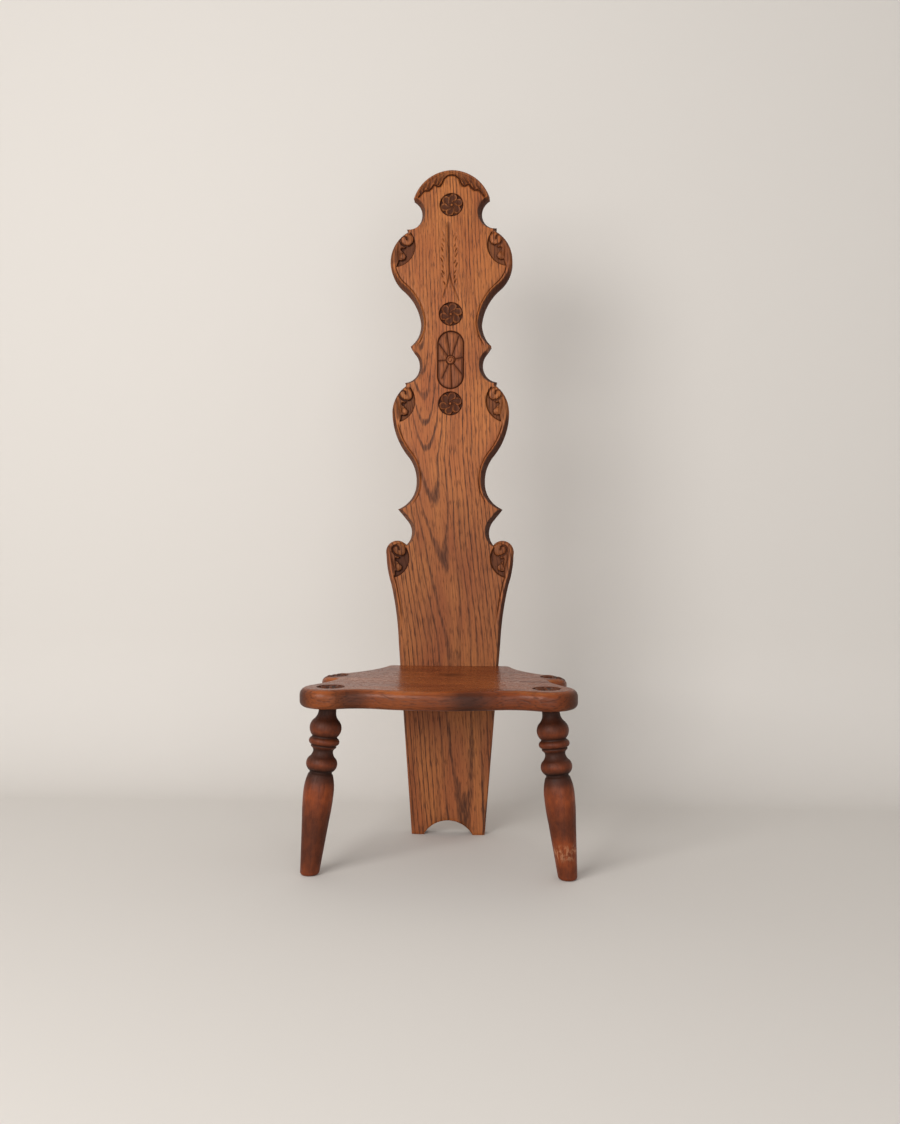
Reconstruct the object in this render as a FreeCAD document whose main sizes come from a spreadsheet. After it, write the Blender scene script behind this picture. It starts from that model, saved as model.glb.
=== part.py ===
import FreeCAD, Part
import math
import os
import Sketcher
from FreeCAD import Placement, Rotation, Vector

# A three-legged spinner's chair in oak. A tall carved plank is at once its back and its rear leg.
# A lobed seat board is let into the plank's front, and two turned legs stand in blind sockets
# under the seat's front lobes. Millimetres, +Z up, front towards -Y, floor at z = 0.
# The origin is on the floor under the middle of the whole chair.

doc = FreeCAD.newDocument("spinning_stool")
sizes = doc.addObject("Spreadsheet::Sheet", "sizes")
sheet_row = 0


def put(alias, value):
    """Write one driving dimension into the sheet, with its name beside it."""
    global sheet_row
    sheet_row += 1
    sizes.set(f"A{sheet_row}", alias)
    sizes.set(f"B{sheet_row}", str(value))
    sizes.setAlias(f"B{sheet_row}", alias)


GENERAL = {
    # back plank: how it stands
    "plank_thick": 22.0,
    "plank_lean": 5.0,
    "plank_foot_back": 64.7,
    "arch_half": 36.0,
    "arch_high": 20.5,
    "arch_round": 42.0,
    "plank_cut_wide": 160.0,
    # seat board: how it lies
    "seat_under": 220.0,
    "seat_thick": 25.0,
    "seat_front": 174.1,
    "seat_rear": 271.0,
    "seat_top_bevel": 6.0,
    "seat_under_bevel": 4.5,
    "seat_nook_round": 4.0,
    # the notch that takes the plank, at the seat's top and underside
    "notch_top_half": 73.4,
    "notch_top_back": 260.2,
    "notch_under_half": 71.4,
    "notch_under_back": 258.0,
    "notch_open": 285.0,
    # whirl rosettes, sunk into plank and seat
    "rose_wide": 36.6,
    "rose_deep": 3.2,
    "petal_proud": 2.2,
    "petal_count": 6.0,
    "rose_top_up": 948.7,
    "rose_middle_up": 777.9,
    "rose_low_up": 640.0,
    "front_rose_out": 140.0,
    "front_rose_back": 42.0,
    "rear_rose_out": 147.0,
    "rear_rose_back": 151.0,
    # long sunk panel between the two lower rosettes
    "panel_half": 20.0,
    "panel_round": 20.6,
    "panel_low": 682.0,
    "panel_high": 731.5,
    "panel_middle": 707.0,
    "panel_deep": 2.6,
    "panel_boss": 14.0,
    # sunk grounds beside the three pairs of scrolls
    "ground_deep": 4.0,
    # leg: foot on the floor, neck at the seat's underside
    "leg_foot_out": 168.3,
    "leg_foot_front": 137.1,
    "leg_neck_out": 146.0,
    "leg_neck_front": 121.7,
    "cut_wide": 60.0,
    "socket_wide": 22.4,
    "socket_deep": 16.5,
    # fox wedge in the split end of each leg
    "wedge_deep": 12.0,
    "wedge_wide": 17.0,
    "wedge_thick_half": 1.9,
    "wedge_thin_half": 0.6,
    # screws driven through the plank into the seat's rear edge
    "screw_up": 233.4,
    "screw_spread": 44.0,
    "screw_head_half": 5.6,
    "screw_core_half": 2.7,
    "screw_cone": 3.2,
    "screw_long": 46.0,
    "screw_slot_half": 0.6,
    "screw_slot_deep": 1.3,
    "screw_hole": 5.8,
    "screw_sink": 3.0,
    "screw_bore_deep": 25.0,
}

# Outlines: name, distance out, distance along, radius of the stretch to the next point, and how that
# stretch bends: 1 swells outwards, -1 is hollow, 0 is straight.
PLANK_EDGE = [
    ("crown", 0.0, 1003.8, 64.0, 1),
    ("crest_corner", 58.5, 960.0, 25.0, -1),
    ("upper_ear", 67.5, 912.5, 58.5, 1),
    ("upper_turn", 74.1, 818.7, 82.0, -1),
    ("upper_waist", 46.8, 764.0, 61.5, -1),
    ("cusp_tip", 61.5, 728.5, 0.0, 0),
    ("cusp_step", 56.0, 720.0, 28.0, -1),
    ("middle_ear", 68.5, 672.5, 52.0, 1),
    ("middle_bulge", 88.5, 630.0, 106.0, 1),
    ("middle_turn", 64.0, 560.0, 60.0, -1),
    ("lower_waist", 52.0, 523.0, 46.0, -1),
    ("horn_tip", 78.5, 479.5, 0.0, 0),
    ("horn_root", 66.0, 464.0, 29.0, -1),
    ("scroll_root", 65.5, 425.6, 17.0, 1),
    ("lower_scroll", 95.4, 411.0, 150.0, 1),
    ("flare", 88.0, 367.0, 480.0, -1),
    ("taper", 75.8, 280.0, 0.0, 0),
    ("foot", 53.4, 0.0, 0.0, 0),
]
SEAT_EDGE = [
    ("front_middle", 0.0, 0.0, 285.0, 1),
    ("front_bow", 76.6, 10.5, 68.2, -1),
    ("lobe_start", 123.9, 6.6, 38.0, 1),
    ("lobe_end", 169.9, 64.4, 147.0, -1),
    ("front_nook", 143.0, 120.1, 31.0, 1),
    ("rear_nook", 136.9, 180.6, 160.0, -1),
    ("rear_corner", 95.6, 259.9, 14.0, 1),
    ("rear_edge", 81.9, 271.0, 0.0, 0),
]
# Turned leg: radius, height along the leg, radius of the stretch to the next point, how it bends, and
# into how many short straight cuts along that bend the turning is divided.
LEG_TURNING = [
    ("leg_end", 11.9, -5.0, 0.0, 0, 1),
    ("vase_low", 17.8, 71.0, 325.0, 1, 2),
    ("vase_full", 20.0, 108.0, 68.5, 1, 3),
    ("vase_top", 16.2, 130.5, 0.0, 0, 1),
    ("groove_low", 14.6, 132.2, 0.0, 0, 1),
    ("groove_high", 14.8, 134.2, 11.7, 1, 5),
    ("low_bulb_top", 18.0, 151.5, 13.0, -1, 2),
    ("cove", 13.1, 160.5, 0.0, 0, 1),
    ("fillet_low", 16.0, 165.3, 2.0, 1, 2),
    ("fillet_top", 16.2, 168.4, 0.0, 0, 1),
    ("ring_low", 17.0, 168.9, 5.0, 1, 3),
    ("ring_top", 17.0, 178.2, 0.0, 0, 1),
    ("crease", 16.3, 180.0, 14.9, 1, 5),
    ("top_bulb_top", 17.2, 200.8, 16.0, -1, 2),
    ("neck", 11.6, 212.5, 0.0, 0, 1),
    ("neck_top", 11.5, 219.0, 0.0, 0, 1),
    ("tenon_low", 11.0, 219.6, 0.0, 0, 1),
    ("tenon_top", 11.0, 237.6, 0.0, 0, 1),
]
# One comma-shaped petal of a whirl rosette, from the rosette's centre, cut in the same way.
PETAL_EDGE = [
    ("petal_heart", 2.6, 0.0, 15.2, 1, 2),
    ("petal_lead", 15.4, 6.9, 13.0, 1, 2),
    ("petal_trail", 4.4, 16.3, 15.2, -1, 2),
    ("petal_root", 2.0, 1.7, 0.0, 0, 1),
]
# Sunk grounds at the three pairs of scrolls. Each goes down its bowed inner border to the leaf's tip and
# comes back up round the leaf's lobe, a small nick and the scroll's eye.
GROUND_POINTS = {
    "upper": [(63.5, 905.5), (81.0, 852.5), (69.5, 865.0), (70.2, 876.5), (74.5, 880.5), (71.5, 888.8),
              (64.0, 901.5)],
    "middle": [(62.5, 665.5), (74.5, 612.0), (65.0, 620.5), (66.0, 631.8), (70.5, 637.5), (70.8, 648.6),
               (63.4, 661.5)],
    "lower": [(68.5, 425.0), (81.5, 377.0), (72.5, 389.8), (73.5, 401.2), (78.0, 405.5), (79.2, 412.9),
              (71.5, 425.5)],
}
GROUND_BORDER = {"upper": 32.5, "middle": 33.0, "lower": 29.0}
GROUND_STEPS = [("top", 1), ("tip", 0), ("lobe_low", -1), ("lobe_high", 0), ("nick", 0), ("eye_low", -1),
                ("eye_high", 0)]
LOBE_BEND, EYE_BEND = 6.0, 7.5


def ground_edge(place):
    """One ground as a list of named points, like the outlines above."""
    bends = {"top": GROUND_BORDER[place], "lobe_low": LOBE_BEND, "eye_low": EYE_BEND}
    return [(f"{place}_ground_{step}", out, along, bends.get(step, 0.0), way)
            for (step, way), (out, along) in zip(GROUND_STEPS, GROUND_POINTS[place])]


GROUND_EDGES = [ground_edge(place) for place in GROUND_POINTS]

for alias, value in GENERAL.items():
    put(alias, value)
for edge in [PLANK_EDGE, SEAT_EDGE, LEG_TURNING, PETAL_EDGE] + GROUND_EDGES:
    for name, out, along, bend, way, *cuts in edge:
        put(name + "_out", out)
        put(name + "_along", along)
        if way:
            put(name + "_bend", bend)
doc.recompute()


def size(alias):
    """A dimension from the sheet. A leading minus gives its negative."""
    return -sizes.get(alias[1:]) if alias.startswith("-") else sizes.get(alias)


def formula(alias):
    """The same dimension as an expression that follows the sheet."""
    return f"-sizes.{alias[1:]}" if alias.startswith("-") else f"sizes.{alias}"


def new_body(label):
    body = doc.addObject("PartDesign::Body", label)
    body.Label = label
    return body


def new_sketch(body, name, plane, offset=None):
    """A sketch on one of the body's own origin planes, moved or turned by an offset."""
    sketch = body.newObject("Sketcher::SketchObject", name)
    support = [f for f in body.Origin.OriginFeatures if f.Role == plane][0]
    sketch.AttachmentSupport = (support, [""])
    sketch.MapMode = "FlatFace"
    if offset:
        sketch.AttachmentOffset = offset
    return sketch


def pin(sketch, geometry, end, out, along):
    """Hold one end of a line or arc at two named distances from the sketch's origin."""
    for kind, axis, alias in (("DistanceX", -2, out), ("DistanceY", -1, along)):
        if not alias or size(alias) == 0:
            sketch.addConstraint(Sketcher.Constraint("PointOnObject", geometry, end, axis))
            continue
        number = sketch.addConstraint(Sketcher.Constraint(kind, -1, 1, geometry, end, size(alias)))
        sketch.setExpression(f"Constraints[{number}]", formula(alias))


def bent_line(start, stop, radius, way):
    """The arc between two points that bends to the left of travel (way 1) or to the right (way -1).
    It also says which of the arc's ends is the start, because arcs always run anticlockwise."""
    chord = stop - start
    middle = (start + stop) * 0.5
    aside = Vector(-chord.y, chord.x, 0).normalize()
    reach = math.sqrt(radius ** 2 - chord.Length ** 2 / 4)
    centre = middle - aside * (reach * way)
    first, last = (stop, start) if way > 0 else (start, stop)
    angles = [math.atan2(p.y - centre.y, p.x - centre.x) for p in (first, last)]
    circle = Part.Circle(centre, Vector(0, 0, 1), radius)
    return Part.ArcOfCircle(circle, angles[0], angles[1]), (2, 1) if way > 0 else (1, 2)


def straight_cuts(sketch, arc, tips, cuts):
    """Divide an arc into equal chords. The arc itself only guides them. Returns the first and last chord."""
    guide = sketch.addGeometry(arc, True)
    turn = (arc.LastParameter - arc.FirstParameter) / cuts
    spots = [arc.value(arc.FirstParameter + turn * i) for i in range(cuts + 1)]
    if tips == (2, 1):
        spots.reverse()
    lines = [sketch.addGeometry(Part.LineSegment(a, b)) for a, b in zip(spots, spots[1:])]
    for before, after in zip(lines, lines[1:]):
        sketch.addConstraint(Sketcher.Constraint("Coincident", before, 2, after, 1))
        sketch.addConstraint(Sketcher.Constraint("PointOnObject", after, 1, guide))
        sketch.addConstraint(Sketcher.Constraint("Equal", before, after))
    sketch.addConstraint(Sketcher.Constraint("Coincident", guide, tips[0], lines[0], 1))
    sketch.addConstraint(Sketcher.Constraint("Coincident", guide, tips[1], lines[-1], 2))
    return guide, lines[0], lines[-1]


def closed_outline(sketch, corners):
    """Draw a closed outline through corners given as (out, along, bend, way) sheet names, and a number
    of cuts where a bend is divided. Way 1 swells out of the outline and -1 is hollow, whichever way
    round the corners run."""
    spots = [Vector(size(c[0]) if c[0] else 0, size(c[1]) if c[1] else 0, 0) for c in corners]
    pairs = list(zip(spots, spots[1:] + spots[:1]))
    anticlockwise = sum(a.x * b.y - b.x * a.y for a, b in pairs) > 0
    starts, stops = [], []
    for (start, stop), (out, along, bend, way, *cuts) in zip(pairs, corners):
        if way:
            arc, tips = bent_line(start, stop, size(bend), -way if anticlockwise else way)
            if cuts and cuts[0] > 1:
                curve, first, last = straight_cuts(sketch, arc, tips, cuts[0])
                tips = (1, 2)
            else:
                curve = first = last = sketch.addGeometry(arc)
            number = sketch.addConstraint(Sketcher.Constraint("Radius", curve, size(bend)))
            sketch.setExpression(f"Constraints[{number}]", formula(bend))
        else:
            first = last = sketch.addGeometry(Part.LineSegment(start, stop))
            tips = (1, 2)
        starts.append((first, tips[0]))
        stops.append((last, tips[1]))
    for stop, start in zip(stops, starts[1:] + starts[:1]):
        sketch.addConstraint(Sketcher.Constraint("Coincident", *stop, *start))
    for start, corner in zip(starts, corners):
        pin(sketch, *start, corner[0], corner[1])


def round_hole(sketch, out, along, wide):
    """A circle in a sketch, held at named distances and bound to a named diameter."""
    spot = Vector(size(out) if out else 0, size(along) if along else 0, 0)
    geometry = sketch.addGeometry(Part.Circle(spot, Vector(0, 0, 1), size(wide) / 2))
    pin(sketch, geometry, 3, out, along)
    number = sketch.addConstraint(Sketcher.Constraint("Diameter", geometry, size(wide)))
    sketch.setExpression(f"Constraints[{number}]", formula(wide))


def edge_corners(edge):
    return [(n + "_out", n + "_along", n + "_bend", way, *cuts) for n, _, _, _, way, *cuts in edge]


def pad(body, sketch, length, reverse=False):
    feature = body.newObject("PartDesign::Pad", sketch.Name + "_pad")
    feature.Profile = sketch
    feature.setExpression("Length", formula(length))
    feature.Reversed = reverse
    return feature


def pocket(body, sketch, length, reverse=False):
    """Cut a sketch into the body, and make sure that it took something away."""
    doc.recompute()
    before = body.Shape.Volume
    feature = body.newObject("PartDesign::Pocket", sketch.Name + "_cut")
    feature.Profile = sketch
    feature.setExpression("Length", formula(length))
    feature.Reversed = reverse
    doc.recompute()
    assert body.Shape.Volume < before - 0.5, f"{sketch.Name} cuts nothing"
    return feature


def mirror(body, originals):
    """Repeat features on the other side of the chair's middle plane."""
    feature = body.newObject("PartDesign::Mirrored", body.Name + "_mirror")
    feature.Originals = originals
    feature.MirrorPlane = ([f for f in body.Origin.OriginFeatures if f.Role == "YZ_Plane"][0], [""])
    body.Tip = feature
    doc.recompute()
    return feature


def ease(body, kind, name, amount, wanted):
    """Round (Fillet) or bevel (Chamfer) every edge of the body that wanted() picks."""
    base = body.Tip
    names = [f"Edge{i + 1}" for i, e in enumerate(base.Shape.Edges) if wanted(e)]
    feature = body.newObject("PartDesign::" + kind, name)
    feature.Base = (base, names)
    feature.setExpression("Radius" if kind == "Fillet" else "Size", formula(amount))
    doc.recompute()
    assert names and not feature.Shape.isNull(), f"{name} could not be made"


def rosette(body, name, plane, centre):
    """A sunk round with whirling petals left standing in it, like the ones on the real chair."""
    out, along, height = centre
    spot = Vector(size(out) if out else 0, size(along), size(height) if height else 0)
    sunk = new_sketch(body, name + "_sunk", plane, Placement(spot, Rotation()))
    round_hole(sunk, None, None, "rose_wide")
    pocket(body, sunk, "rose_deep")

    floor = spot - Vector(0, 0, size("rose_deep"))
    petal = new_sketch(body, name + "_petal", plane, Placement(floor, Rotation()))
    closed_outline(petal, edge_corners(PETAL_EDGE))
    leaf = pad(body, petal, "petal_proud")
    whirl = body.newObject("PartDesign::PolarPattern", name + "_whirl")
    whirl.Originals = [leaf]
    whirl.Axis = (petal, ["N_Axis"])
    whirl.Angle = 360
    whirl.setExpression("Occurrences", formula("petal_count"))
    body.Tip = whirl
    doc.recompute()


def leg_axis(side):
    """Foot point on the floor and the direction of a splayed leg, for side -1 (left) or 1 (right)."""
    foot = Vector(side * size("leg_foot_out"), -size("leg_foot_front"), 0)
    neck = Vector(side * size("leg_neck_out"), -size("leg_neck_front"), size("seat_under"))
    return foot, Rotation(Vector(0, 0, 1), neck - foot)


LEAN_BACK = Rotation(Vector(1, 0, 0), -size("plank_lean"))
PLANK_PLACE = Placement(Vector(0, size("plank_foot_back"), 0), LEAN_BACK)
SEAT_PLACE = Placement(Vector(0, -size("seat_front"), size("seat_under")), Rotation())


def make_back_plank():
    """Back and rear leg in one board: waisted outline, sunk scroll grounds, arched foot."""
    body = new_body("back_plank")
    outline = new_sketch(body, "plank_outline", "XZ_Plane")
    corners = edge_corners(PLANK_EDGE)
    corners.append(("arch_half", None, "arch_round", -1))
    corners.append((None, "arch_high", None, 0))
    closed_outline(outline, corners)
    board = pad(body, outline, "plank_thick", reverse=True)
    doc.recompute()

    grounds = new_sketch(body, "scroll_grounds", "XZ_Plane")
    for edge in GROUND_EDGES:
        closed_outline(grounds, edge_corners(edge))
    sunk = pocket(body, grounds, "ground_deep")
    mirror(body, [board, sunk])

    panel = new_sketch(body, "long_panel", "XZ_Plane")
    closed_outline(panel, [
        ("-panel_half", "panel_high", "panel_round", 1),
        ("panel_half", "panel_high", None, 0),
        ("panel_half", "panel_low", "panel_round", 1),
        ("-panel_half", "panel_low", None, 0),
    ])
    round_hole(panel, None, "panel_middle", "panel_boss")
    pocket(body, panel, "panel_deep")
    for name in ("rose_top", "rose_middle", "rose_low"):
        rosette(body, name, "XZ_Plane", (None, name + "_up", None))

    # The plank leans, so its foot is cut level with the floor.
    floor_turn = Rotation(Vector(1, 0, 0), size("plank_lean"))
    floor = new_sketch(body, "plank_floor_cut", "XY_Plane", Placement(Vector(), floor_turn))
    round_hole(floor, None, None, "plank_cut_wide")
    pocket(body, floor, "cut_wide")

    # Screw holes come through from behind and are countersunk there.
    behind = Placement(Vector(0, 0, -size("plank_thick")), Rotation())
    holes = new_sketch(body, "screw_holes", "XZ_Plane", behind)
    for out in ("-screw_spread", None, "screw_spread"):
        round_hole(holes, out, "screw_up", "screw_hole")
    pocket(body, holes, "plank_thick", reverse=True)
    ease(body, "Chamfer", "screw_sinks", "screw_sink", lambda e: e.Closed
         and abs(e.BoundBox.YMin - size("plank_thick")) < 0.01
         and abs(e.BoundBox.Center.z - size("screw_up")) < 1)
    body.Placement = PLANK_PLACE
    return body


def make_seat_board():
    """Seat: bowed front, round lobes over the legs, round ears behind them, notch for the plank."""
    body = new_body("seat_board")
    outline = new_sketch(body, "seat_outline", "XY_Plane")
    closed_outline(outline, edge_corners(SEAT_EDGE) + [(None, "seat_rear", None, 0)])
    board = pad(body, outline, "seat_thick")
    doc.recompute()
    mirror(body, [board])

    nooks = [("front_nook_out", "front_nook_along"), ("rear_nook_out", "rear_nook_along")]
    ease(body, "Fillet", "nook_rounds", "seat_nook_round", lambda e: e.BoundBox.ZLength > 20 and any(
        abs(abs(e.BoundBox.Center.x) - size(o)) < 0.5 and abs(e.BoundBox.Center.y - size(a)) < 0.5
        for o, a in nooks))
    for name, height, bevel in (("top_bevel", size("seat_thick"), "seat_top_bevel"),
                                ("under_bevel", 0.0, "seat_under_bevel")):
        ease(body, "Chamfer", name, bevel, lambda e: e.BoundBox.ZLength < 0.01
             and abs(e.BoundBox.Center.z - height) < 0.01)

    # The notch leans and narrows downwards as the plank does.
    ends = []
    for name, height in (("top", size("seat_thick")), ("under", 0.0)):
        level = new_sketch(body, "notch_" + name, "XY_Plane", Placement(Vector(0, 0, height), Rotation()))
        half, back = f"notch_{name}_half", f"notch_{name}_back"
        closed_outline(level, [("-" + half, back, None, 0), (half, back, None, 0),
                               (half, "notch_open", None, 0), ("-" + half, "notch_open", None, 0)])
        ends.append(level)
    notch = body.newObject("PartDesign::SubtractiveLoft", "plank_notch")
    notch.Profile = ends[0]
    notch.Sections = ends[1:]
    notch.Ruled = True
    doc.recompute()

    for side, sign in (("left", "-"), ("right", "")):
        for place in ("front", "rear"):
            centre = (f"{sign}{place}_rose_out", f"{place}_rose_back", "seat_thick")
            rosette(body, f"{side}_{place}_rose", "XY_Plane", centre)

    # Blind sockets, bored along each leg from below.
    to_seat = SEAT_PLACE.inverse()
    for side, sign in (("left", -1), ("right", 1)):
        foot, turn = leg_axis(sign)
        reach = (size("seat_under") - foot.z) / turn.multVec(Vector(0, 0, 1)).z + size("socket_deep")
        end = foot + turn.multVec(Vector(0, 0, reach))
        bore = new_sketch(body, side + "_socket", "XY_Plane", Placement(to_seat.multVec(end), turn))
        round_hole(bore, None, None, "socket_wide")
        pocket(body, bore, "cut_wide")

    # Bores for the screws, square to the leaning plank.
    start = to_seat.multVec(PLANK_PLACE.multVec(Vector(0, 0, size("screw_up"))))
    plane = Placement(Vector(0, start.z, -start.y), Rotation(Vector(1, 0, 0), -size("plank_lean")))
    bores = new_sketch(body, "screw_bores", "XZ_Plane", plane)
    for out in ("-screw_spread", None, "screw_spread"):
        round_hole(bores, out, None, "screw_hole")
    pocket(body, bores, "screw_bore_deep", reverse=True)
    body.Placement = SEAT_PLACE
    return body


def make_leg(label, side):
    """Turned leg: vase, two bulbs with a ring between, plain neck and a split round tenon."""
    body = new_body(label)
    turning = new_sketch(body, label + "_turning", "XZ_Plane")
    ends = [(None, "tenon_top_along", None, 0), (None, "leg_end_along", None, 0)]
    closed_outline(turning, edge_corners(LEG_TURNING) + ends)
    spin = body.newObject("PartDesign::Revolution", label + "_spin")
    spin.Profile = turning
    spin.ReferenceAxis = (turning, ["V_Axis"])
    spin.Angle = 360
    doc.recompute()

    foot, turn = leg_axis(side)
    floor = new_sketch(body, label + "_floor_cut", "XY_Plane", Placement(Vector(), turn.inverted()))
    round_hole(floor, None, None, "cut_wide")
    pocket(body, floor, "cut_wide")

    kerf = new_sketch(body, label + "_kerf", "XZ_Plane",
                      Placement(Vector(0, size("tenon_top_along"), 0), Rotation()))
    wedge_outline(kerf)
    cut = pocket(body, kerf, "cut_wide")
    cut.Midplane = True
    body.Placement = Placement(foot, turn)
    return body


def wedge_outline(sketch):
    """The wedge's taper, thick end level with the end of the tenon."""
    closed_outline(sketch, [
        ("-wedge_thick_half", None, None, 0), ("wedge_thick_half", None, None, 0),
        ("wedge_thin_half", "-wedge_deep", None, 0), ("-wedge_thin_half", "-wedge_deep", None, 0)])


def make_wedge(label, side):
    """Fox wedge: the blind socket drives it into the split tenon and spreads it."""
    body = new_body(label)
    taper = new_sketch(body, label + "_taper", "XZ_Plane")
    wedge_outline(taper)
    block = pad(body, taper, "wedge_wide")
    block.Midplane = True
    foot, turn = leg_axis(side)
    top = foot + turn.multVec(Vector(0, 0, size("tenon_top_along")))
    body.Placement = Placement(top, turn)
    return body


def make_screw(label, out):
    """Slotted countersunk wood screw, head at the origin, pointing along +Z."""
    body = new_body(label)
    half = new_sketch(body, label + "_half", "XZ_Plane")
    closed_outline(half, [
        (None, None, None, 0), ("screw_head_half", None, None, 0),
        ("screw_core_half", "screw_cone", None, 0), ("screw_core_half", "screw_long", None, 0),
        (None, "screw_long", None, 0)])
    spin = body.newObject("PartDesign::Revolution", label + "_spin")
    spin.Profile = half
    spin.ReferenceAxis = (half, ["V_Axis"])
    spin.Angle = 360
    slot = new_sketch(body, label + "_slot", "XZ_Plane")
    closed_outline(slot, [
        ("-screw_slot_half", None, None, 0), ("screw_slot_half", None, None, 0),
        ("screw_slot_half", "screw_slot_deep", None, 0), ("-screw_slot_half", "screw_slot_deep", None, 0)])
    cut = pocket(body, slot, "cut_wide")
    cut.Midplane = True
    from_behind = Rotation(Vector(0, 0, 1), Vector(0, -1, 0))
    spot = Vector(out * size("screw_spread"), size("plank_thick"), size("screw_up"))
    body.Placement = PLANK_PLACE * Placement(spot, from_behind)
    return body


nodes = [
    make_seat_board(),
    make_back_plank(),
    make_leg("left_front_leg", -1),
    make_leg("right_front_leg", 1),
    make_wedge("left_tenon_wedge", -1),
    make_wedge("right_tenon_wedge", 1),
]
screws = doc.addObject("Part::Compound", "back_screws")
screws.Label = "back_screws"
screws.Links = [make_screw(f"back_screw_{n}", out) for n, out in (("left", -1), ("middle", 0), ("right", 1))]
nodes.append(screws)
doc.recompute()

for thing in doc.Objects:
    assert not {"Invalid", "Error"} & set(thing.State), f"{thing.Name} failed: {thing.State}"
os.makedirs("parts", exist_ok=True)
for node in nodes:
    assert not node.Shape.isNull() and node.Shape.isValid(), f"{node.Label} is not a valid solid"
for node in nodes:
    node.Shape.exportStep(f"parts/{node.Label}.step")
    box = node.Shape.BoundBox
    print(f"{node.Label}: {len(node.Shape.Solids)} solid, {node.Shape.Volume / 1000:.1f} cm3, "
          f"x {box.XMin:.1f} to {box.XMax:.1f}, y {box.YMin:.1f} to {box.YMax:.1f}, "
          f"z {box.ZMin:.1f} to {box.ZMax:.1f}")
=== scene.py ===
# %% [markdown]
# # A carved oak spinner's chair
#
# This low chair was made for someone who spins wool. One tall plank leans back and is both the back
# and the rear leg, a lobed board is the seat, and two turned legs hold up the front. Nothing moves.
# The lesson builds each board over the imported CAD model, which fixes every size and place, and
# spends its effort on what the CAD leaves out: carving, worn edges and the figure of the oak.

import math

import bmesh
import bpy
import numpy as np
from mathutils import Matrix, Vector
from mathutils.geometry import delaunay_2d_cdt
from mathutils.kdtree import KDTree


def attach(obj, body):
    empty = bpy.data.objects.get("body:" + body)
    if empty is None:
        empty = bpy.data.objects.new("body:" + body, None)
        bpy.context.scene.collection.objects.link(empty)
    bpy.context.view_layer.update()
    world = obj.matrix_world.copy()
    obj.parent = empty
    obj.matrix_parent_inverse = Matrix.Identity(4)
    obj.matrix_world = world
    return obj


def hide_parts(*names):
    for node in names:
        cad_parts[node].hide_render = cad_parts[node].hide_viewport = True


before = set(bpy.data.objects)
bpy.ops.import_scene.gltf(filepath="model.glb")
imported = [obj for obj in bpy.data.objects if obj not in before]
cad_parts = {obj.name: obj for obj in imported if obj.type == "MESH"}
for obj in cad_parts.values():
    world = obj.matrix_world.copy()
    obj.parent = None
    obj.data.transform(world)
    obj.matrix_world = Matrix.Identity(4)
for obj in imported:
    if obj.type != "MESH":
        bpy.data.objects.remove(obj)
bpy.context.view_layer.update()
MM = 0.001
print("nodes:", sorted(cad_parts))

# %% [markdown]
# ## Drawing an outline from lines and arcs
#
# A joiner draws such boards with a straightedge and compasses, so each outline here is a short list
# of corner points, each with the radius of the stretch that leaves it. One function walks along the
# list and returns evenly spaced points. The numbers are the CAD source's millimetres, apart from four
# small spurs on the plank and a slightly fuller seat, which only the visual model has.

# %% Walk along lines and arcs


def stretch(start, stop, radius, way, step):
    """Points from start up to, but without, stop. Way 1 swells to the left of travel, -1 to the right."""
    start, stop = np.array(start, float), np.array(stop, float)
    chord = stop - start
    length = np.hypot(*chord)
    if not way:
        count = max(1, round(length / step))
        return start + np.linspace(0, 1, count, endpoint=False)[:, None] * chord
    left = np.array([-chord[1], chord[0]]) / length
    centre = (start + stop) / 2 - left * way * math.sqrt(radius ** 2 - length ** 2 / 4)
    first, last = (math.atan2(p[1] - centre[1], p[0] - centre[0]) for p in (start, stop))
    turn = (last - first) % (2 * math.pi)
    if way > 0:
        turn -= 2 * math.pi
    count = max(2, round(radius * abs(turn) / step))
    angles = first + turn * np.linspace(0, 1, count, endpoint=False)
    return centre + radius * np.stack([np.cos(angles), np.sin(angles)], 1)


def walk(corners, step, outward=1):
    """Points along a list of (x, y, radius, way) corners, and how far along the list each one is."""
    points, places = [], []
    for i, ((x, y, radius, way), after) in enumerate(zip(corners, corners[1:])):
        piece = stretch((x, y), after[:2], radius, way * outward, step)
        points.append(piece)
        places.append(i + np.linspace(0, 1, len(piece), endpoint=False))
    points.append(np.array([corners[-1][:2]], float))
    places.append(np.array([len(corners) - 1.0]))
    return np.concatenate(points), np.concatenate(places)


def ramp(value, low, high):
    """0 below low, 1 above high and a soft step between."""
    t = np.clip((value - low) / (high - low), 0, 1)
    return t * t * (3 - 2 * t)


def line_distance(x, y, line):
    """Distance of many points from a line through a few points, and how far along it each one is."""
    line = np.array(line, float)
    best = np.full(x.shape, 1e9)
    place = np.zeros(x.shape)
    for i, (a, b) in enumerate(zip(line[:-1], line[1:])):
        step = b - a
        t = np.clip(((x - a[0]) * step[0] + (y - a[1]) * step[1]) / (step @ step), 0, 1)
        gap = np.hypot(x - a[0] - t * step[0], y - a[1] - t * step[1])
        nearer = gap < best
        best = np.where(nearer, gap, best)
        place = np.where(nearer, (i + t) / (len(line) - 1), place)
    return best, place


def inside(x, y, ring):
    """True for the points that lie inside a closed ring."""
    result = np.zeros(x.shape, bool)
    for (ax, ay), (bx, by) in zip(ring, np.roll(ring, -1, axis=0)):
        if ay != by:
            crosses = (ay > y) != (by > y)
            result ^= crosses & (x < (bx - ax) * (y - ay) / (by - ay) + ax)
    return result


print("a half circle of 10 mm is", len(stretch((-10, 0), (10, 0), 10.0, 1, 1.0)), "points at 1 mm")


# %% [markdown]
# ## Turning points into a mesh object
#
# Every board ends up as lists of corners and faces, so one function makes the object. It also stores
# two values on each corner for the oak materials to read: where the corner lies in its own board, with
# the grain along the third axis, and how darkly stain and wax have settled there. The second value also
# carries painted shade, and painted highlights as values below zero.

# %% Make a piece
SHARP_FROM = math.radians(38)


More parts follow.
